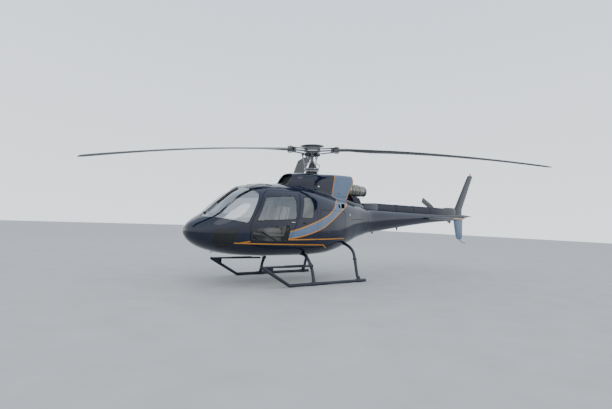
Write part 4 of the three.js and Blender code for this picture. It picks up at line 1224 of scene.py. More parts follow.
def hull_patch(shape, corners, height, material, side):
    """Thin plate on the fuselage between four corners given as y, z."""
    a, b, c, d = np.array(corners, float)
    u, v = np.meshgrid(np.linspace(0, 1, 7), np.linspace(0, 1, 7), indexing="ij")
    u, v = u[..., None], v[..., None]
    flat = (a * (1 - u) + b * u) * (1 - v) + (d * (1 - u) + c * u) * v
    y, z = flat[..., 0].ravel(), flat[..., 1].ravel()
    points = hull_points(y, z)
    normals = HULL.normal(points)
    top = ((points + normals * height) * [side, 1, 1]).reshape(7, 7, 3)
    low = ((points - normals * 0.006) * [side, 1, 1]).reshape(7, 7, 3)
    rings = [np.concatenate([top[k], low[k][::-1]]) for k in range(7)]
    loft(shape, rings, material)


def make_roof_trim():
    """Seal along the cowl's front foot, two air slots and a panel seam."""
    shape = Shape()
    ys = np.linspace(-0.93, -0.60, 16)
    foot = COWL.point(ys, cowl_foot(ys) + 0.02)
    seam = side_to_flat(np.array([(-0.439, 1.724), (-0.220, 1.734), (0.073, 1.748), (0.372, 1.762), (0.712, 1.777)]))
    for side in (1, -1):
        tube(shape, foot * [side, 1, 1], 0.008, "rubber", 8)
        surface_strip(shape, seam, 0.006, 0.003, 0.0, "rubber", side, closed=False)
        hull_patch(shape, [(0.315, 1.780), (0.392, 1.782), (0.385, 1.870), (0.345, 1.866)], 0.003, "slot", side)
        hull_patch(shape, [(0.428, 1.772), (0.562, 1.778), (0.650, 1.890), (0.492, 1.882)], 0.003, "slot", side)
    shape.make("roof_trim", "airframe")


NOZZLE_LEAN = 0.12


def make_powerplant():
    """Gearbox with its mast housing, engine, exhaust with its saddle, and the fairing behind."""
    shape = Shape()
    local = Matrix.Translation((0, 0, HUB_Z)) @ Matrix.Rotation(MAST_TILT, 4, "X")

    def housing(part):
        lathe(part, [(0.20, -0.72), (0.20, -0.60), (0.150, -0.585), (0.142, -0.535), (0.108, -0.508), (0.098, -0.44),
                     (0.062, -0.31), (0.058, -0.302), (0.050, -0.302), (0.050, -0.72)], "black", sides=40)
        for k in range(8):
            a = k / 8 * 2 * math.pi
            c, s = math.cos(a), math.sin(a)
            rod(part, (0.098 * c, 0.098 * s, -0.43), (0.064 * c, 0.064 * s, -0.315), 0.005, "black", sides=6)
        lathe(part, [(0.172, -0.532), (0.176, -0.526), (0.176, -0.503), (0.172, -0.498), (0.120, -0.498),
                     (0.120, -0.532)], "steel", sides=44)
        for a in (-105, 15, 135):
            c, s = math.cos(math.radians(a)), math.sin(math.radians(a))
            rod(part, (0.165 * c, 0.165 * s, -0.700), (0.160 * c, 0.160 * s, -0.525), 0.014, "steel", sides=10)
            x, y = 0.160 * c, 0.160 * s
            block(part, (x - 0.022, y - 0.022, -0.545), (x + 0.022, y + 0.022, -0.500), "steel", 0.005)

    shape.moved(local, housing)
    lathe(shape, [(0.0, 2.10), (0.20, 2.10), (0.235, 2.14), (0.235, 2.20), (0.215, 2.22), (0.215, 2.38),
                  (0.235, 2.40), (0.235, 2.46), (0.19, 2.49), (0.0, 2.49)], "dark_metal", sides=40)
    shape.make("gearbox_housing", "airframe", ["main_gearbox"], "gearbox_metal")

    engine = Shape()
    lathe(engine, [(0.0, 0.26), (0.15, 0.26), (0.17, 0.30), (0.17, 0.42), (0.21, 0.46), (0.21, 0.64), (0.19, 0.68),
                   (0.19, 0.80), (0.215, 0.83), (0.215, 0.89), (0.185, 0.925), (0.0, 0.925)], "dark_metal",
          (0, 0, 2.304), "y", 36)
    engine.make("engine_casing", "airframe", ["engine_block"], "engine_metal")

    nozzle = Shape()
    outer = [(0.935, 0.172, 2.306), (1.05, 0.180, 2.306), (1.20, 0.180, 2.306), (1.45, 0.176, 2.304),
             (1.66, 0.162, 2.302), (1.80, 0.149, 2.302), (1.880, 0.141, 2.302)]
    lip = [(1.890, 0.147, 2.302), (1.898, 0.145, 2.302), (1.892, 0.134, 2.302)]
    inner = [(y, r - 0.010, z) for y, r, z in outer[::-1][1:]]
    rings = [end_ring(*row) for row in outer + lip + inner]
    count = len(rings[0])
    faces = ring_faces(count, len(rings), True)
    points = np.concatenate(rings)
    faces = outward(points, faces)
    half = (len(outer) + 1) * count
    nozzle.add(points, faces[:half], "exhaust")
    nozzle.add(points, faces[half:], "soot")
    for y, r in ((1.24, 0.1795), (1.62, 0.1645)):
        row = [end_ring(y - 0.012, r, 2.304), end_ring(y - 0.008, r + 0.008, 2.304),
               end_ring(y + 0.008, r + 0.007, 2.304), end_ring(y + 0.012, r - 0.001, 2.304)]
        loft(nozzle, row, "exhaust", caps=False)
    nozzle.make("exhaust_pipe", "airframe", ["exhaust_nozzle"], "exhaust_metal")

    saddle = Shape()
    prism(saddle, [(1.333, 2.168), (1.661, 2.103), (1.800, 1.869), (1.800, 1.80), (1.580, 1.80), (1.497, 1.938)],
          -0.105, 0.105, "saddle")
    saddle.make("exhaust_saddle", "airframe")

    deck = Shape()
    rings = []
    for y, half, top in ((0.72, 0.36, 2.150), (0.95, 0.33, 2.105), (1.20, 0.27, 2.060), (1.50, 0.20, 2.010),
                         (1.75, 0.135, 1.975), (1.845, 0.100, 1.960)):
        foot = float(hull_top(half, np.array([y]))[0]) - 0.012
        rings.append([(half * math.cos(a), y, foot + (top - foot) * math.sin(a) ** 0.7)
                      for a in np.linspace(0, math.pi, 25)])
    loft(deck, rings, "navy")
    deck.make("deck_fairing", "airframe")


def end_ring(y, radius, z):
    """Ring across the fore and aft line, whose foot lies further back."""
    lean = NOZZLE_LEAN * max((y - 1.5) / 0.45, 0)
    turns = circle(radius, 36)
    return np.array([(c, y - lean * s, z + s) for c, s in turns])


# Tail

TAIL_HUB = (-0.46, 6.110, 1.940)
TAIL_LEAN = -23.5


def hull_rings(hull, ys, sides=48):
    """Sections of a body at some places aft."""
    angles = np.arange(sides) / sides * 2 * math.pi
    return [hull.point(np.full(sides, float(y)), angles) for y in ys]


def foil_ring(lead, trail, thickness, place, points=14, camber=0.0):
    """Wing section from leading edge to trailing edge. place(s, t) gives the point s along the
    chord's own axis and t across it."""
    ring = []
    chord = trail - lead
    along = (1 - np.cos(np.linspace(0, math.pi, points))) / 2

    def half(s):
        return 5 * thickness * (0.2969 * np.sqrt(s) - 0.1260 * s - 0.3516 * s**2 + 0.2843 * s**3 - 0.1015 * s**4)
    for s in along:
        ring.append(place(lead + chord * s, half(s) + camber * (s - s * s)))
    for s in along[::-1][1:-1]:
        ring.append(place(lead + chord * s, -half(s) + camber * (s - s * s)))
    return ring


def make_tail():
    """Boom, cover of the drive shaft, tail gearbox and fins."""
    shape = Shape()
    ys = np.concatenate([[HULL_END + BOOM_GAP], np.linspace(1.85, 6.8, 42), np.linspace(6.9, 7.53, 16)])
    rings = hull_rings(BOOM, ys)
    tip = rings[-1].mean(0)
    rings += [tip + (rings[-1] - tip) * [0.5, 1, 0.5] + [0, 0.008, 0]]
    loft(shape, rings, "navy")
    joint = hull_rings(BOOM, [HULL_END + 2 * BOOM_GAP])[0]
    tube(shape, joint, 0.0025, "navy", 6, closed=True, up=(0, 1, 0))
    for y, z, height in ((2.332, 1.245, 0.115), (3.413, 1.350, 0.105)):
        prism(shape, [(y - 0.05, z), (y + 0.04, z), (y + 0.015, z - height), (y - 0.015, z - height)], -0.006, 0.006,
              "black")
    shape.make("tail_boom_skin", "airframe", ["tail_boom"], "boom_skin")

    cover = Shape()

    def arch(y, half, foot, top):
        """Section of a rounded cover that is flat below."""
        turns = [(math.cos(a), math.sin(a)) for a in np.linspace(0, math.pi, 21)]
        return [(half * abs(c) ** 0.45 * (1 if c > 0 else -1), y, foot + (top - foot) * s ** 0.6) for c, s in turns]

    loft(cover, [arch(1.852, 0.085, 1.78, 1.955), arch(1.868, 0.100, 1.78, 1.982), arch(2.418, 0.107, 1.77, 2.018),
                 arch(2.432, 0.100, 1.77, 2.012)], "navy")
    stations = [2.436, 2.45, 3.26, 3.27, 4.10, 4.11, 4.94, 4.95, 5.745, 5.757]
    rows = []
    for k, y in enumerate(stations):
        low = 0.006 if k % 2 == 0 or k == 9 else 0.0
        rows.append(arch(y, 0.095 - low, 1.76, 2.010 + (y - 2.45) * 0.006 - low))
    loft(cover, rows, "navy")
    for y in (3.265, 4.105, 4.945):
        line = np.array(arch(y, 0.0955, 1.83, 2.0105 + (y - 2.45) * 0.006))
        tube(cover, line, 0.003, "rubber", 6, up=(0, 1, 0))
    for side in (1, -1):
        for y in np.arange(2.7, 5.7, 0.84):
            block(cover, (side * 0.095 - 0.003, y - 0.018, 1.862), (side * 0.095 + 0.003, y + 0.018, 1.884), "navy",
                  0.002)
    cover.make("shaft_cover", "airframe", ["drive_shaft_cover"], "boom_skin")

    gear = Shape()
    loft(gear, [arch(5.763, 0.084, 1.78, 2.02), arch(5.86, 0.088, 1.78, 2.045), arch(6.10, 0.088, 1.78, 2.060),
                arch(6.34, 0.080, 1.78, 2.060), arch(6.40, 0.068, 1.78, 2.050)], "gearbox")
    loft(gear, [arch(6.401, 0.066, 1.78, 2.048), arch(6.424, 0.058, 1.78, 2.040)], "steel")
    hub = TAIL_HUB
    lathe(gear, [(0.062, 0.40), (0.062, 0.30), (0.052, 0.28), (0.045, 0.16), (0.050, 0.15), (0.050, 0.10),
                 (0.036, 0.09), (0.036, 0.0765)], "dark_metal", hub, "x", 24)
    for a in range(6):
        y = hub[1] + 0.05 * math.cos(a * math.pi / 3)
        z = hub[2] + 0.05 * math.sin(a * math.pi / 3)
        rod(gear, (-0.160, y, z), (-0.145, y, z), 0.006, "steel", sides=6)
    rod(gear, (-0.085, 6.02, 1.98), (-0.33, 6.02, 1.97), 0.009, "steel", sides=8)
    gear.make("tail_gearbox_fairing", "airframe", ["tail_gearbox"], "gearbox_metal")
    make_fins()


def make_fins():
    """Upper fin with its beacon, lower fin with its guard, and the tailplane."""
    def upright(z):
        return lambda s, t: (t, s, z)

    upper = Shape()
    rows = [(6.425, 6.905, 1.80, 0.055), (6.459, 6.918, 2.05, 0.050), (6.715, 7.13, 2.45, 0.044),
            (6.97, 7.34, 2.85, 0.036), (7.20, 7.53, 3.20, 0.030), (7.224, 7.545, 3.235, 0.028),
            (7.27, 7.55, 3.253, 0.018), (7.33, 7.53, 3.259, 0.008)]
    loft(upper, [foil_ring(a, b, t, upright(z)) for a, b, z, t in rows], "navy")
    lathe(upper, [(0.030, 3.250), (0.030, 3.275), (0.024, 3.285), (0.024, 3.325), (0.016, 3.345), (0.004, 3.352)],
          "red", (0, 7.40, 0), "z", 20)
    upper.make("upper_fin_skin", "airframe", ["upper_fin"])

    lower = Shape()
    rows = [(6.415, 6.975, 1.74, 0.055), (6.418, 6.972, 1.60, 0.052), (6.475, 6.978, 1.40, 0.045),
            (6.532, 6.985, 1.216, 0.040), (6.575, 6.985, 1.10, 0.035), (6.610, 6.970, 1.04, 0.030),
            (6.655, 6.93, 1.00, 0.022), (6.71, 6.87, 0.985, 0.012)]
    loft(lower, [foil_ring(a, b, t, upright(z)) for a, b, z, t in rows], "blue")
    guard = smooth_line([(6.80, 1.03), (6.83, 0.965), (6.95, 0.905), (7.198, 0.846)])
    tube(lower, [(0, y, z) for y, z in guard], 0.011, "black", 10, up=(1, 0, 0))
    lower.make("lower_fin_skin", "airframe", ["lower_fin"])

    plane = Shape()
    z = 1.660

    def across(x):
        return lambda s, t: (x, s, z - t)

    lead, trail = 4.545, 5.145
    span = [(-1.20, 0.052), (-0.90, 0.058), (0, 0.060), (0.90, 0.058), (1.20, 0.052)]
    tips = [(1.203, lead, trail, 0.053), (1.235, 4.550, 5.140, 0.048), (1.255, 4.565, 5.10, 0.030),
            (1.264, 4.60, 5.06, 0.010)]
    lamp = [(0.002, -0.035), (0.016, -0.03), (0.020, 0.0), (0.014, 0.03), (0.002, 0.04)]
    loft(plane, [foil_ring(lead, trail, t, across(x)) for x, t in span], "navy")
    for sign in (1, -1):
        loft(plane, [foil_ring(a, b, t, across(sign * x)) for x, a, b, t in tips], "gold")
    for sign, material in ((1, "red"), (-1, "lens")):
        lathe(plane, lamp, material, (sign * 1.262, 4.75, z), "y", 14)
    for sign in (1, -1):
        loft(plane, [foil_ring(4.50, 5.17, 0.085, across(sign * 0.262)),
                     foil_ring(4.51, 5.16, 0.070, across(sign * 0.275))], "navy")
    plane.make("tailplane_skin", "airframe", ["stabiliser"])


# Landing gear

SKID_X = 1.100
SKID_Z = 0.038
SKID_RADIUS = 0.037
FRONT_TUBE_Y, REAR_TUBE_Y = -0.697, 0.721
CLAMP_ROW = 6
TUBE_RADIUS = 0.036
FRONT_LEG = [(0.0, 0.668), (0.30, 0.668), (0.55, 0.668), (0.70, 0.650), (0.80, 0.595), (0.864, 0.534), (0.94, 0.440),
             (1.012, 0.305), (1.055, 0.16), (1.085, 0.045)]
REAR_LEG = [(0.0, 0.893), (0.30, 0.893), (0.506, 0.892), (0.677, 0.845), (0.80, 0.775), (0.875, 0.690),
            (0.929, 0.535), (0.981, 0.325), (1.035, 0.130), (1.080, 0.045)]


def make_landing_gear():
    """Cross tubes with their clamps and saddles, and the skids."""
    for name, y, half in (("front_cross_tube", FRONT_TUBE_Y, FRONT_LEG), ("rear_cross_tube", REAR_TUBE_Y, REAR_LEG)):
        shape = Shape()
        line = smooth_line([(-x, z) for x, z in half[::-1]][:-1] + half, 0.025)
        tube(shape, [(x, y, z) for x, z in line], TUBE_RADIUS, "tube", 20, up=(0, 1, 0))
        for side in (1, -1):
            (x0, z0), (x1, z1) = half[CLAMP_ROW], half[CLAMP_ROW + 1]
            a = np.array([side * x0, y, z0])
            b = np.array([side * x1, y, z1])
            d = (b - a) / np.linalg.norm(b - a)
            rod(shape, a - d * 0.028, a + d * 0.028, TUBE_RADIUS + 0.009, "tube", sides=20)
            rod(shape, a + d * 0.07, a + d * 0.085, TUBE_RADIUS + 0.005, "tube", sides=20)
            block(shape, a - [0.014, 0.062, 0.020], a + [0.014, 0.062, 0.020], "tube", 0.005)
            foot = np.array([side * 1.068, y, 0.105])
            rod(shape, foot - [side * 0.012, 0, -0.03], foot + [side * 0.012, 0, -0.03], TUBE_RADIUS + 0.008, "tube",
                sides=20)
            saddle = np.array([side * 0.36, y, half[0][1]])
            block(shape, saddle - [0.05, 0.05, 0.045], saddle + [0.05, 0.05, 0.055], "tube", 0.012)
        shape.make(name + "_skin", "airframe", [name], "gear_tube")
    for word, side in (("left", 1), ("right", -1)):
        make_skid(word, side)


def make_skid(word, side):
    shape = Shape()
    x = side * SKID_X
    line = dense([(0.924, SKID_Z), (-1.33, SKID_Z)], 0.2).tolist()
    line += smooth_line([(-1.36, SKID_Z), (-1.397, 0.045), (-1.45, 0.072)], 0.012).tolist()
    line += [(-1.60, 0.158), (-1.80, 0.270), (-2.00, 0.383), (-2.121, 0.452)]
    tube(shape, [(x, y, z) for y, z in line], SKID_RADIUS, "tube", 20, up=(1, 0, 0))
    bar = [(-2.12, 0.450), (-1.50, 0.444), (-1.0, 0.438), (-0.735, 0.434)]
    inner = side * 1.060
    tube(shape, [(x + (inner - x) * max((y + 1.5) / 0.8, 0), y, z) for y, z in bar], 0.025, "tube", 14,
         up=(1, 0, 0), scale=[0.8, 1, 1, 1])
    for y in (-1.40, -1.12):
        block(shape, (x - 0.034, y - 0.13, 0.462), (x + 0.034, y + 0.13, 0.472), "black", 0.003)
    prism(shape, [(-2.070, 0.440), (-1.835, 0.440), (-1.835, 0.286), (-2.070, 0.418)], x - 0.010, x + 0.010, "navy")
    for y in (FRONT_TUBE_Y, REAR_TUBE_Y):
        rod(shape, (x, y - 0.11, SKID_Z), (x, y + 0.11, SKID_Z), SKID_RADIUS + 0.006, "tube", sides=20)
    for y0, y1 in ((-1.25, -0.92), (-0.30, 0.25), (0.45, 0.86)):
        block(shape, (x - 0.022, y0, 0.0), (x + 0.022, y1, 0.012), "steel", 0.003)
    lathe(shape, [(SKID_RADIUS, 0.0), (SKID_RADIUS, 0.012), (0.020, 0.018)], "black", (x, 0.920, SKID_Z), "y", 20)
    rod(shape, (x - 0.001 * side, -2.121, 0.452), (x, -2.135, 0.460), 0.030, "black", 0.018)
    strip = [(0.90, 0.010), (1.02, 0.010), (1.14, 0.022), (1.20, 0.036)]
    loft(shape, [[(x - 0.02, y, z - 0.004), (x + 0.02, y, z - 0.004), (x + 0.02, y, z + 0.004),
                  (x - 0.02, y, z + 0.004)] for y, z in strip], "steel")
    shape.make(f"skid_{word}_skin", "airframe", [f"skid_{word}"], "gear_tube")


# Rotors

PARKED_TURN = -3.9


def rotor_frame(turn=0.0):
    return (Matrix.Translation((0, 0, HUB_Z)) @ Matrix.Rotation(MAST_TILT, 4, "X")
            @ Matrix.Rotation(math.radians(turn + PARKED_TURN), 4, "Z"))


def arm(part):
    """One arm of the rotor head, pointing to -y, with its two sleeves and fittings."""
    prism(part, [(-0.062, -0.10), (-0.056, -0.30), (-0.048, -0.42), (-0.048, -0.555), (0.048, -0.555),
                 (0.048, -0.42), (0.056, -0.30), (0.062, -0.10)], -0.020, 0.004, "head", "z")
    prism(part, [(-0.048, -0.215), (-0.052, -0.45), (-0.062, -0.60), (-0.062, -0.715), (0.062, -0.715),
                 (0.062, -0.60), (0.052, -0.45), (0.048, -0.215)], 0.040, 0.056, "head", "z")
    loft(part, [[(-h, y, z - 0.016), (h, y, z - 0.016), (h, y, z), (-h, y, z)] for y, h, z in
                ((-0.235, 0.048, -0.072), (-0.45, 0.052, -0.058), (-0.60, 0.062, -0.050), (-0.715, 0.062, -0.048))],
         "head")
    block(part, (-0.060, -0.600, -0.068), (0.060, -0.530, 0.058), "black", 0.010)
    for x in (-0.0615, 0.0615):
        block(part, (x - 0.003, -0.592, -0.045), (x + 0.003, -0.538, 0.040), "dark_metal", 0.002)
    for y in (-0.640, -0.692):
        for x in (-0.036, 0.036):
            rod(part, (x, y, -0.088), (x, y, 0.072), 0.012, "dark_metal", sides=12)
            rod(part, (x, y, 0.060), (x, y, 0.078), 0.018, "steel", sides=6)
            rod(part, (x, y, -0.098), (x, y, -0.070), 0.018, "steel", sides=6)
    block(part, (-0.135, -0.245, -0.115), (-0.050, -0.195, -0.066), "head", 0.010)
    low, top = np.array([-0.120, -0.120, -0.455]), np.array([-0.120, -0.220, -0.088])
    rod(part, top, low, 0.011, "steel", sides=12)
    for a, b in ((0.06, 0.26), (0.80, 0.98)):
        rod(part, top + (low - top) * a, top + (low - top) * b, 0.016, "dark_metal", sides=12)
    lathe(part, [(0.001, -0.016), (0.016, -0.012), (0.020, 0.0), (0.016, 0.012), (0.001, 0.016)], "steel",
          top, "x", 12)
    block(part, low - [0.022, 0.030, 0.022], low + [0.022, 0.030, 0.016], "steel", 0.006)
    lathe(part, [(0.060, -0.135), (0.072, -0.125), (0.072, -0.075), (0.060, -0.060), (0.001, -0.060),
                 (0.001, -0.135)], "black", (0, -0.145, 0), "z", 20)


def make_rotor_head():
    shape = Shape()

    def centre(part):
        lathe(part, [(0.001, -0.295), (0.040, -0.295), (0.040, -0.150), (0.062, -0.135), (0.075, -0.09),
                     (0.150, -0.060), (0.150, -0.022), (0.205, -0.018), (0.213, -0.004), (0.213, 0.012), (0.205, 0.022),
                     (0.206, 0.092), (0.220, 0.104), (0.298, 0.118), (0.3025, 0.124), (0.298, 0.130), (0.20, 0.152),
                     (0.10, 0.166), (0.060, 0.172), (0.001, 0.172)], "head", sides=56)
        lathe(part, [(0.2135, -0.020), (0.2155, -0.018), (0.2155, 0.008), (0.2135, 0.010)], "steel", sides=56)
        for k in range(12):
            a = (k + 0.5) / 12 * 2 * math.pi
            x, y = 0.12 * math.cos(a), 0.12 * math.sin(a)
            rod(part, (x, y, -0.064), (x, y, -0.078), 0.012, "steel", sides=6)
        lathe(part, [(0.180, -0.484), (0.185, -0.479), (0.185, -0.446), (0.180, -0.441), (0.126, -0.441),
                     (0.126, -0.484)], "head", sides=48)
        lathe(part, [(0.056, -0.285), (0.056, -0.262), (0.040, -0.262), (0.040, -0.285)], "dark_metal", sides=24)
        for a in (54.8, 234.8):
            c, s = math.cos(math.radians(a)), math.sin(math.radians(a))
            sideways = np.array([-s, c, 0]) * 0.022
            for sign in (1, -1):
                off = sideways * sign
                elbow = np.array([0.195 * c, 0.195 * s, -0.365]) + off
                rod(part, np.array([0.05 * c, 0.05 * s, -0.270]) + off, elbow, 0.009, "steel", sides=8)
                rod(part, elbow, np.array([0.165 * c, 0.165 * s, -0.452]) + off, 0.009, "steel", sides=8)
            for pin, radius in (((0.195 * c, 0.195 * s, -0.365), 0.010), ((0.165 * c, 0.165 * s, -0.452), 0.012)):
                pin = np.array(pin)
                rod(part, pin - sideways * 1.5, pin + sideways * 1.5, radius, "dark_metal", sides=10)

    shape.moved(rotor_frame(), centre)
    for k in range(3):
        shape.moved(rotor_frame(120 * k), arm)
    shape.make("rotor_head_parts", "main_rotor", ["rotor_head"], "rotor_metal")


BLADE_RADIUS = 5.345
ROOT_PITCH = (12.5, 10.0, 10.2)
TWIST = 13.9
BLADE_ROWS = [(0.610, 0.052, 0.056, 0.070), (0.66, 0.062, 0.068, 0.074), (0.80, 0.072, 0.076, 0.074),
              (0.98, 0.085, 0.085, 0.068), (1.15, 0.098, 0.176, 0.058), (1.45, 0.098, 0.252, 0.044)]
BLADE_ROWS += [(r, 0.098, 0.252, 0.038) for r in np.linspace(2.0, 5.1, 16)]
BLADE_TIP = [(5.102, 0.098, 0.252, 0.0375), (5.25, 0.094, 0.250, 0.033), (5.315, 0.080, 0.238, 0.018),
             (5.340, 0.055, 0.215, 0.008)]


def blade_section(row, root_pitch):
    """Section of a blade that points to -y. Row: distance from the mast, distances of the leading
    and trailing edges from the pitch axis, thickness."""
    r, lead, trail, thickness = row
    z = -0.570 * (r / BLADE_RADIUS) ** 1.72
    pitch = math.radians(root_pitch - TWIST * r / BLADE_RADIUS)
    c, s = math.cos(pitch), math.sin(pitch)

    def place(a, t):
        return (a * c + t * s, -r, z + t * c - a * s)

    return foil_ring(-lead, trail, thickness, place, 16, 0.010)


def make_blades():
    for k, root_pitch in enumerate(ROOT_PITCH):
        def blade(part):
            for rows in (BLADE_ROWS, BLADE_TIP):
                loft(part, [blade_section(row, root_pitch) for row in rows], "blade")

        shape = Shape()
        shape.moved(rotor_frame(120 * k), blade)
        shape.make(f"main_blade_{k + 1}_skin", "main_rotor", [f"main_blade_{k + 1}"], "blade_skin")


def make_tail_rotor():
    shape = Shape()

    def part_of(part):
        def place(r):
            return lambda s, t: (t, r, s)
        for sign in (1, -1):
            rows = [(0.175, 0.07, 0.028), (0.23, 0.10, 0.026), (0.31, 0.165, 0.022), (0.40, 0.185, 0.020),
                    (0.85, 0.185, 0.018), (0.905, 0.175, 0.014), (0.925, 0.145, 0.007)]
            loft(part, [foil_ring(-0.35 * w * sign, 0.65 * w * sign, t, place(r * sign), 12) for r, w, t in rows],
                 "blade")
            block(part, (-0.022, min(0.05 * sign, 0.235 * sign), -0.036),
                  (0.022, max(0.05 * sign, 0.235 * sign), 0.036), "dark_metal", 0.008)
            for y in (0.10, 0.19):
                rod(part, (-0.030, y * sign, 0), (0.030, y * sign, 0), 0.012, "steel", sides=8)
            rod(part, (0.060, 0.07 * sign, 0.045), (0.018, 0.20 * sign, 0.040), 0.007, "steel", sides=8)
        block(part, (-0.016, -0.10, -0.045), (0.016, 0.10, 0.045), "dark_metal", 0.008)
        lathe(part, [(0.001, -0.036), (0.024, -0.036), (0.034, -0.026), (0.034, 0.050), (0.048, 0.055),
                     (0.048, 0.066), (0.030, 0.072), (0.001, 0.072)], "steel", (0, 0, 0), "x", 24)

    shape.moved(Matrix.Translation(TAIL_HUB) @ Matrix.Rotation(math.radians(TAIL_LEAN), 4, "X"), part_of)
    shape.make("tail_rotor_parts", "tail_rotor", ["tail_rotor_blades"], "blade_skin")


# Cabin

FLOOR_Z = 0.880
SEAT_X = 0.42
SWELL = 0.008
SWELL_LIMIT = 0.014
CLOTH_FRAMES = 20
CLOTH_GRID = 0.012
CLOTH_PRESSURE = 4.0


def keep_mesh(piece):
    """Turns what the piece's modifiers show into its own mesh."""
    seen = piece.evaluated_get(bpy.context.evaluated_depsgraph_get())
    mesh = bpy.data.meshes.new_from_object(seen)
    piece.modifiers.clear()
    piece.data = mesh
    return mesh


def positions(mesh):
    flat = np.empty(len(mesh.vertices) * 3)
    mesh.vertices.foreach_get("co", flat)
    return flat.reshape(-1, 3)


def blow_up(pieces):
    """Presses the cushions out from inside as cloth, and keeps the meshes that this gives."""
    scene = bpy.context.scene
    starts = []
    for piece in pieces:
        remesh = piece.modifiers.new("remesh", "REMESH")
        remesh.mode = "VOXEL"
        remesh.voxel_size = CLOTH_GRID
        starts.append(positions(keep_mesh(piece)))
        cloth = piece.modifiers.new("cloth", "CLOTH")
        cloth.settings.use_pressure = True
        cloth.settings.uniform_pressure_force = CLOTH_PRESSURE
        cloth.settings.effector_weights.gravity = 0.0
        cloth.settings.quality = 4
    for number in range(1, CLOTH_FRAMES + 1):
        scene.frame_set(number)
    for piece, start in zip(pieces, starts):
        mesh = keep_mesh(piece)
        step = positions(mesh) - start
        length = np.linalg.norm(step, axis=1, keepdims=True)
        step *= np.minimum(1.0, SWELL_LIMIT / np.maximum(length, 1e-9))
        mesh.vertices.foreach_set("co", (start + step).ravel())
        mesh.update()
        piece.modifiers.new("smooth", "SUBSURF").levels = 1
        mesh = keep_mesh(piece)
        mesh.polygons.foreach_set("use_smooth", [True] * len(mesh.polygons))
    scene.frame_set(1)


def soft_piece(shape, name):
    """Cushion as a piece of the airframe."""
    piece = shape.make(name, "airframe", (), "seat_cloth")
    return piece


def pillow(part, low, high, material="seat", puff=0.16, power=5.0, n=14):
    """Cushion: rounded box whose faces bulge a little."""
    low, high = np.asarray(low, float) + SWELL, np.asarray(high, float) - SWELL
    centre, half = (low + high) / 2, (high - low) / 2
    rows = []
    for i in range(1, 2 * n):
        a = -math.pi / 2 + math.pi * i / (2 * n)
        ring = []
        for j in range(4 * n):
            b = 2 * math.pi * j / (4 * n)
            d = np.array([math.cos(a) * math.cos(b), math.cos(a) * math.sin(b), math.sin(a)])
            size = np.sum(np.abs(d) ** power) ** (1 / power)
            p = d / size
            bulge = 1 + puff * (1 - p[0] ** 2) * (1 - p[1] ** 2)
            ring.append(centre + p * half * [1, 1, bulge if abs(p[2]) > 0.5 else 1])
        rows.append(ring)
    loft(part, rows, material)


def make_cabin():
    """Floor, wall behind the bench, seats, console and controls."""
    shape = Shape()
    ys = np.concatenate([np.linspace(-2.95, -2.0, 12), np.linspace(-1.9, -0.45, 12)])
    halves = np.maximum(HULL.half_width(ys, np.full(len(ys), FLOOR_Z)) - 0.055, 0.02)
    loft(shape, [[(-h, y, FLOOR_Z - 0.022), (h, y, FLOOR_Z - 0.022), (h, y, FLOOR_Z), (-h, y, FLOOR_Z)]
                 for y, h in zip(ys, halves)], "carpet")
    angles = np.linspace(-0.35, math.pi / 2, 24)
    ring = HULL.point(np.full(len(angles), -0.43), angles)
    ring = ring - HULL.normal(ring) * 0.048
    wall = np.vstack([ring, (ring * [-1, 1, 1])[-2::-1]]) * [1, 0, 1]
    loft(shape, [wall + [0, y, 0] for y in (-0.440, -0.416)], "liner")
    shape.make("cabin_floor_and_wall", "airframe", ["cabin_floor"], "interior_panels")
    cushions = make_front_seat("left", 1) + make_front_seat("right", -1) + make_bench()
    blow_up(cushions)
    make_console()


def make_front_seat(word, side):
    """Seat shell with its belts, and the two cushions, which it returns."""
    x = side * SEAT_X
    lean = Matrix.Translation((x, -1.30, 1.20)) @ Matrix.Rotation(math.radians(-13), 4, "X")
    frame_part = Shape()
    block(frame_part, (x - 0.20, -1.72, FLOOR_Z + 0.002), (x + 0.20, -1.28, 1.06), "liner", 0.03)
    block(frame_part, (x - 0.245, -1.78, 1.04), (x + 0.245, -1.23, 1.115), "liner", 0.025)
    frame_part.moved(lean, lambda part: block(part, (-0.235, 0.035, -0.10), (0.235, 0.085, 0.56), "liner", 0.024))
    for s in (-1, 1):
        frame_part.moved(lean, lambda part: tube(part, [(s * 0.10, -0.078, 0.52), (s * 0.10, -0.082, 0.20),
                                                        (s * 0.15, -0.085, -0.02)], 0.020, "belt", 4))
    frame_part.make(f"front_seat_{word}_frame", "airframe", [f"front_seat_{word}"], "interior_panels")
    cushion = Shape()
    pillow(cushion, (x - 0.235, -1.785, 1.105), (x + 0.235, -1.26, 1.235))
    seat = soft_piece(cushion, f"front_seat_{word}_cushion")
    back = Shape()
    back.moved(lean, lambda part: pillow(part, (-0.225, -0.065, 0.0), (0.225, 0.038, 0.56), puff=0.05))
    return [seat, soft_piece(back, f"front_seat_{word}_back")]


def make_bench():
    """Bench base, a dark streaked panel between the backs that paints the shade of the rear cabin, and the cushions,
    which it returns.
    """
    pieces = []
    base = Shape()
    block(base, (-0.72, -0.95, FLOOR_Z + 0.002), (0.72, -0.47, 1.10), "liner", 0.02)
    block(base, (-0.70, -0.52, 1.10), (0.70, -0.47, 1.72), "liner", 0.02)
    # dark streaked panel: painted shade of the rear cabin behind the front seats
    block(base, (-0.36, -0.640, 1.40), (0.36, -0.50, 1.95), "trim", 0.03)
    base.make("rear_bench_base", "airframe", ["rear_bench"], "interior_panels")
    for k, x in enumerate((-0.375, 0.375)):
        cushion = Shape()
        pillow(cushion, (x - 0.36, -0.975, 1.09), (x + 0.36, -0.53, 1.22))
        pieces.append(soft_piece(cushion, f"rear_bench_cushion_{k + 1}"))
        back = Shape()
        pillow(back, (x - 0.35, -0.615, 1.22), (x + 0.35, -0.505, 1.76), puff=0.03)
        pieces.append(soft_piece(back, f"rear_bench_back_{k + 1}"))
    return pieces


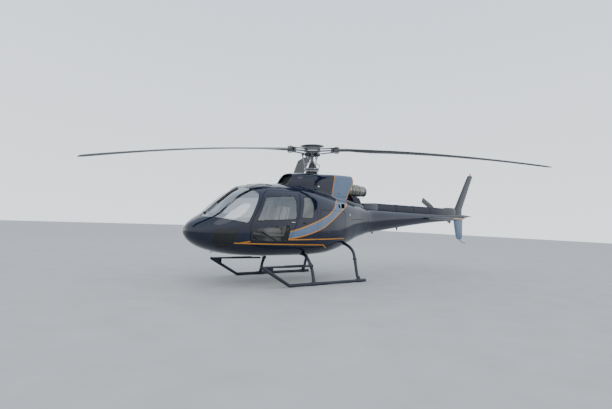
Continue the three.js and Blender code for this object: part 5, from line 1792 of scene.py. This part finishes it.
def make_console():
    """Console, panel with its dials, sticks, levers and pedals."""
    shape = Shape()
    prism(shape, [(-2.56, FLOOR_Z + 0.002), (-1.97, FLOOR_Z + 0.002), (-1.97, 1.06), (-2.36, 1.20), (-2.56, 1.34)],
          -0.115, 0.115, "black")
    prism(shape, [(-2.63, 1.22), (-2.50, 1.22), (-2.53, 1.50), (-2.63, 1.50)], -0.30, 0.30, "black")
    prism(shape, [(-2.66, 1.495), (-2.46, 1.505), (-2.47, 1.525), (-2.62, 1.535), (-2.66, 1.515)], -0.32, 0.32,
          "black")
    for row, z in enumerate((1.43, 1.33)):
        for x in (-0.22, -0.11, 0.0, 0.11, 0.22):
            y = -2.513 + (1.22 - z) * 0.107
            lathe(shape, [(0.001, 0.006), (0.036, 0.006), (0.044, 0.012), (0.048, 0.010), (0.048, -0.004),
                          (0.001, -0.004)], "lens", (x, y, z), "y", 20)
    for z in (1.0, 1.04):
        block(shape, (-0.08, -1.968, z), (0.08, -1.962, z + 0.028), "dark_metal", 0.002)
    shape.make("console_and_panel", "airframe", ["instrument_console"], "dark_plastic")

    controls = Shape()
    for side in (1, -1):
        x = side * SEAT_X
        stick = smooth_line([(0.0, FLOOR_Z), (0.02, 1.05), (-0.03, 1.22), (-0.05, 1.34)], 0.03)
        tube(controls, [(x, -2.02 + y, z) for y, z in stick], 0.012, "dark_metal", 10, up=(1, 0, 0))
        tube(controls, [(x, -2.07, 1.31), (x, -2.078, 1.41)], 0.020, "black", 12, up=(1, 0, 0))
        lever = x + 0.29 - 0.02
        tube(controls, [(lever, -1.45, 0.95), (lever, -1.80, 1.12)], 0.014, "dark_metal", 10, up=(1, 0, 0))
        tube(controls, [(lever, -1.78, 1.11), (lever, -1.90, 1.165)], 0.021, "black", 12, up=(1, 0, 0))
        for k in (-1, 1):
            px = x + k * 0.09
            tube(controls, [(px, -2.42, FLOOR_Z + 0.01), (px, -2.46, 1.0)], 0.010, "dark_metal", 8, up=(1, 0, 0))
            block(controls, (px - 0.045, -2.475, 0.98), (px + 0.045, -2.455, 1.05), "dark_metal", 0.005)
    controls.make("flight_controls", "airframe")


# Small parts on the fuselage

def make_small_parts():
    """Nose lamp, rims of the roof windows, wiper, probe and strips at the nose."""
    lens = Shape()
    steps = (0.004, 0.04, 0.07, 0.10, 0.12, math.sqrt(LENS_EDGE - HULL.tip) - 0.002)
    loft(lens, hull_rings(HULL, [HULL.tip + u * u for u in steps], 40), "lens")
    rim = hull_rings(HULL, [LENS_EDGE], 40)[0]
    tube(lens, rim, 0.006, "dark_metal", 8, closed=True, up=(0, 1, 0))
    lens.make("nose_lamp", "airframe")

    shape = Shape()
    rim_y = np.linspace(-2.067, -1.479, 14)
    rim_x = 0.40
    rim_z = HULL.point(rim_y, HULL.angle_at_x(rim_y, np.full(14, rim_x)))[:, 2]
    rim_lift = 0.006 + 0.034 * np.sin(np.linspace(0, math.pi, 14))
    for side in (1, -1):
        tube(shape, [(rim_x * side, y, z + h) for y, z, h in zip(rim_y, rim_z, rim_lift)], 0.007, "black", 8,
             up=(1, 0, 0))
    ys = np.linspace(-2.905, -2.14, 24)
    top = HULL.row(ys)[1]
    lift = 0.020 + 0.012 * np.sin(np.linspace(0, math.pi, 24))
    arm_line = [(0.050, y, z + h) for y, z, h in zip(ys, top, lift)]
    tube(shape, arm_line, 0.007, "black", 8, up=(1, 0, 0))
    loft(shape, [[(0.035, y, z + 0.004), (0.041, y, z + 0.004), (0.041, y, z + h), (0.035, y, z + h)]
                 for y, z, h in list(zip(ys, top, lift))[8:]], "rubber")
    lathe(shape, [(0.022, -0.02), (0.022, 0.030), (0.012, 0.038), (0.001, 0.038)], "black",
          (0.050, -2.915, float(HULL.row(np.array([-2.915]))[1][0])), "z", 16)
    tube(shape, [(0, -2.655, 0.775), (0, -2.655, 0.705), (0, -2.668, 0.690), (0, -2.73, 0.684)], 0.009, "steel", 10,
         up=(1, 0, 0))
    for side in (1, -1):
        mirror = np.array([side, 1, 1])
        flat = side_to_flat(np.array([(-3.120, 1.382), (-3.120 + 0.055, 1.382 + 0.012)]))
        surface_strip(shape, flat, 0.022, 0.006, 0.0, "black", side, closed=False)
        strip = hull_points([-3.143, -3.06, -2.98, -2.894], [1.223, 1.30, 1.355, 1.395]) * mirror
        tube(shape, strip, 0.005, "rubber", 6)
        latch = hull_points([0.766], [1.618])[0] * mirror
        block(shape, latch - [0.012, 0.03, 0.02], latch + [0.004, 0.03, 0.02], "steel", 0.003)
    shape.make("nose_fittings", "airframe")


def add_handle(shape, side, y, z, material, length=0.10):
    """Lever handle on a dark recessed plate."""
    x = hull_points([y], [z])[0][0] * side
    block(shape, (x - 0.004, y - length * 0.65, z - 0.032), (x + 0.003, y + length * 0.65, z + 0.024), "black", 0.003)
    block(shape, (min(x, x + side * 0.014), y - length / 2, z - 0.007),
          (max(x, x + side * 0.014), y + length / 2, z + 0.007), material, 0.004)


MATERIALS = make_materials()
make_camera()
make_stage()
make_fuselage()
make_cowlings()
make_fillet()
make_roof_trim()
make_powerplant()
make_tail()
make_landing_gear()
make_rotor_head()
make_blades()
make_tail_rotor()
make_cabin()
make_small_parts()

for node in frame["nodes"].values():
    if not node.hide_render:
        node.data.materials.clear()
        node.data.materials.append(MATERIALS["navy"])
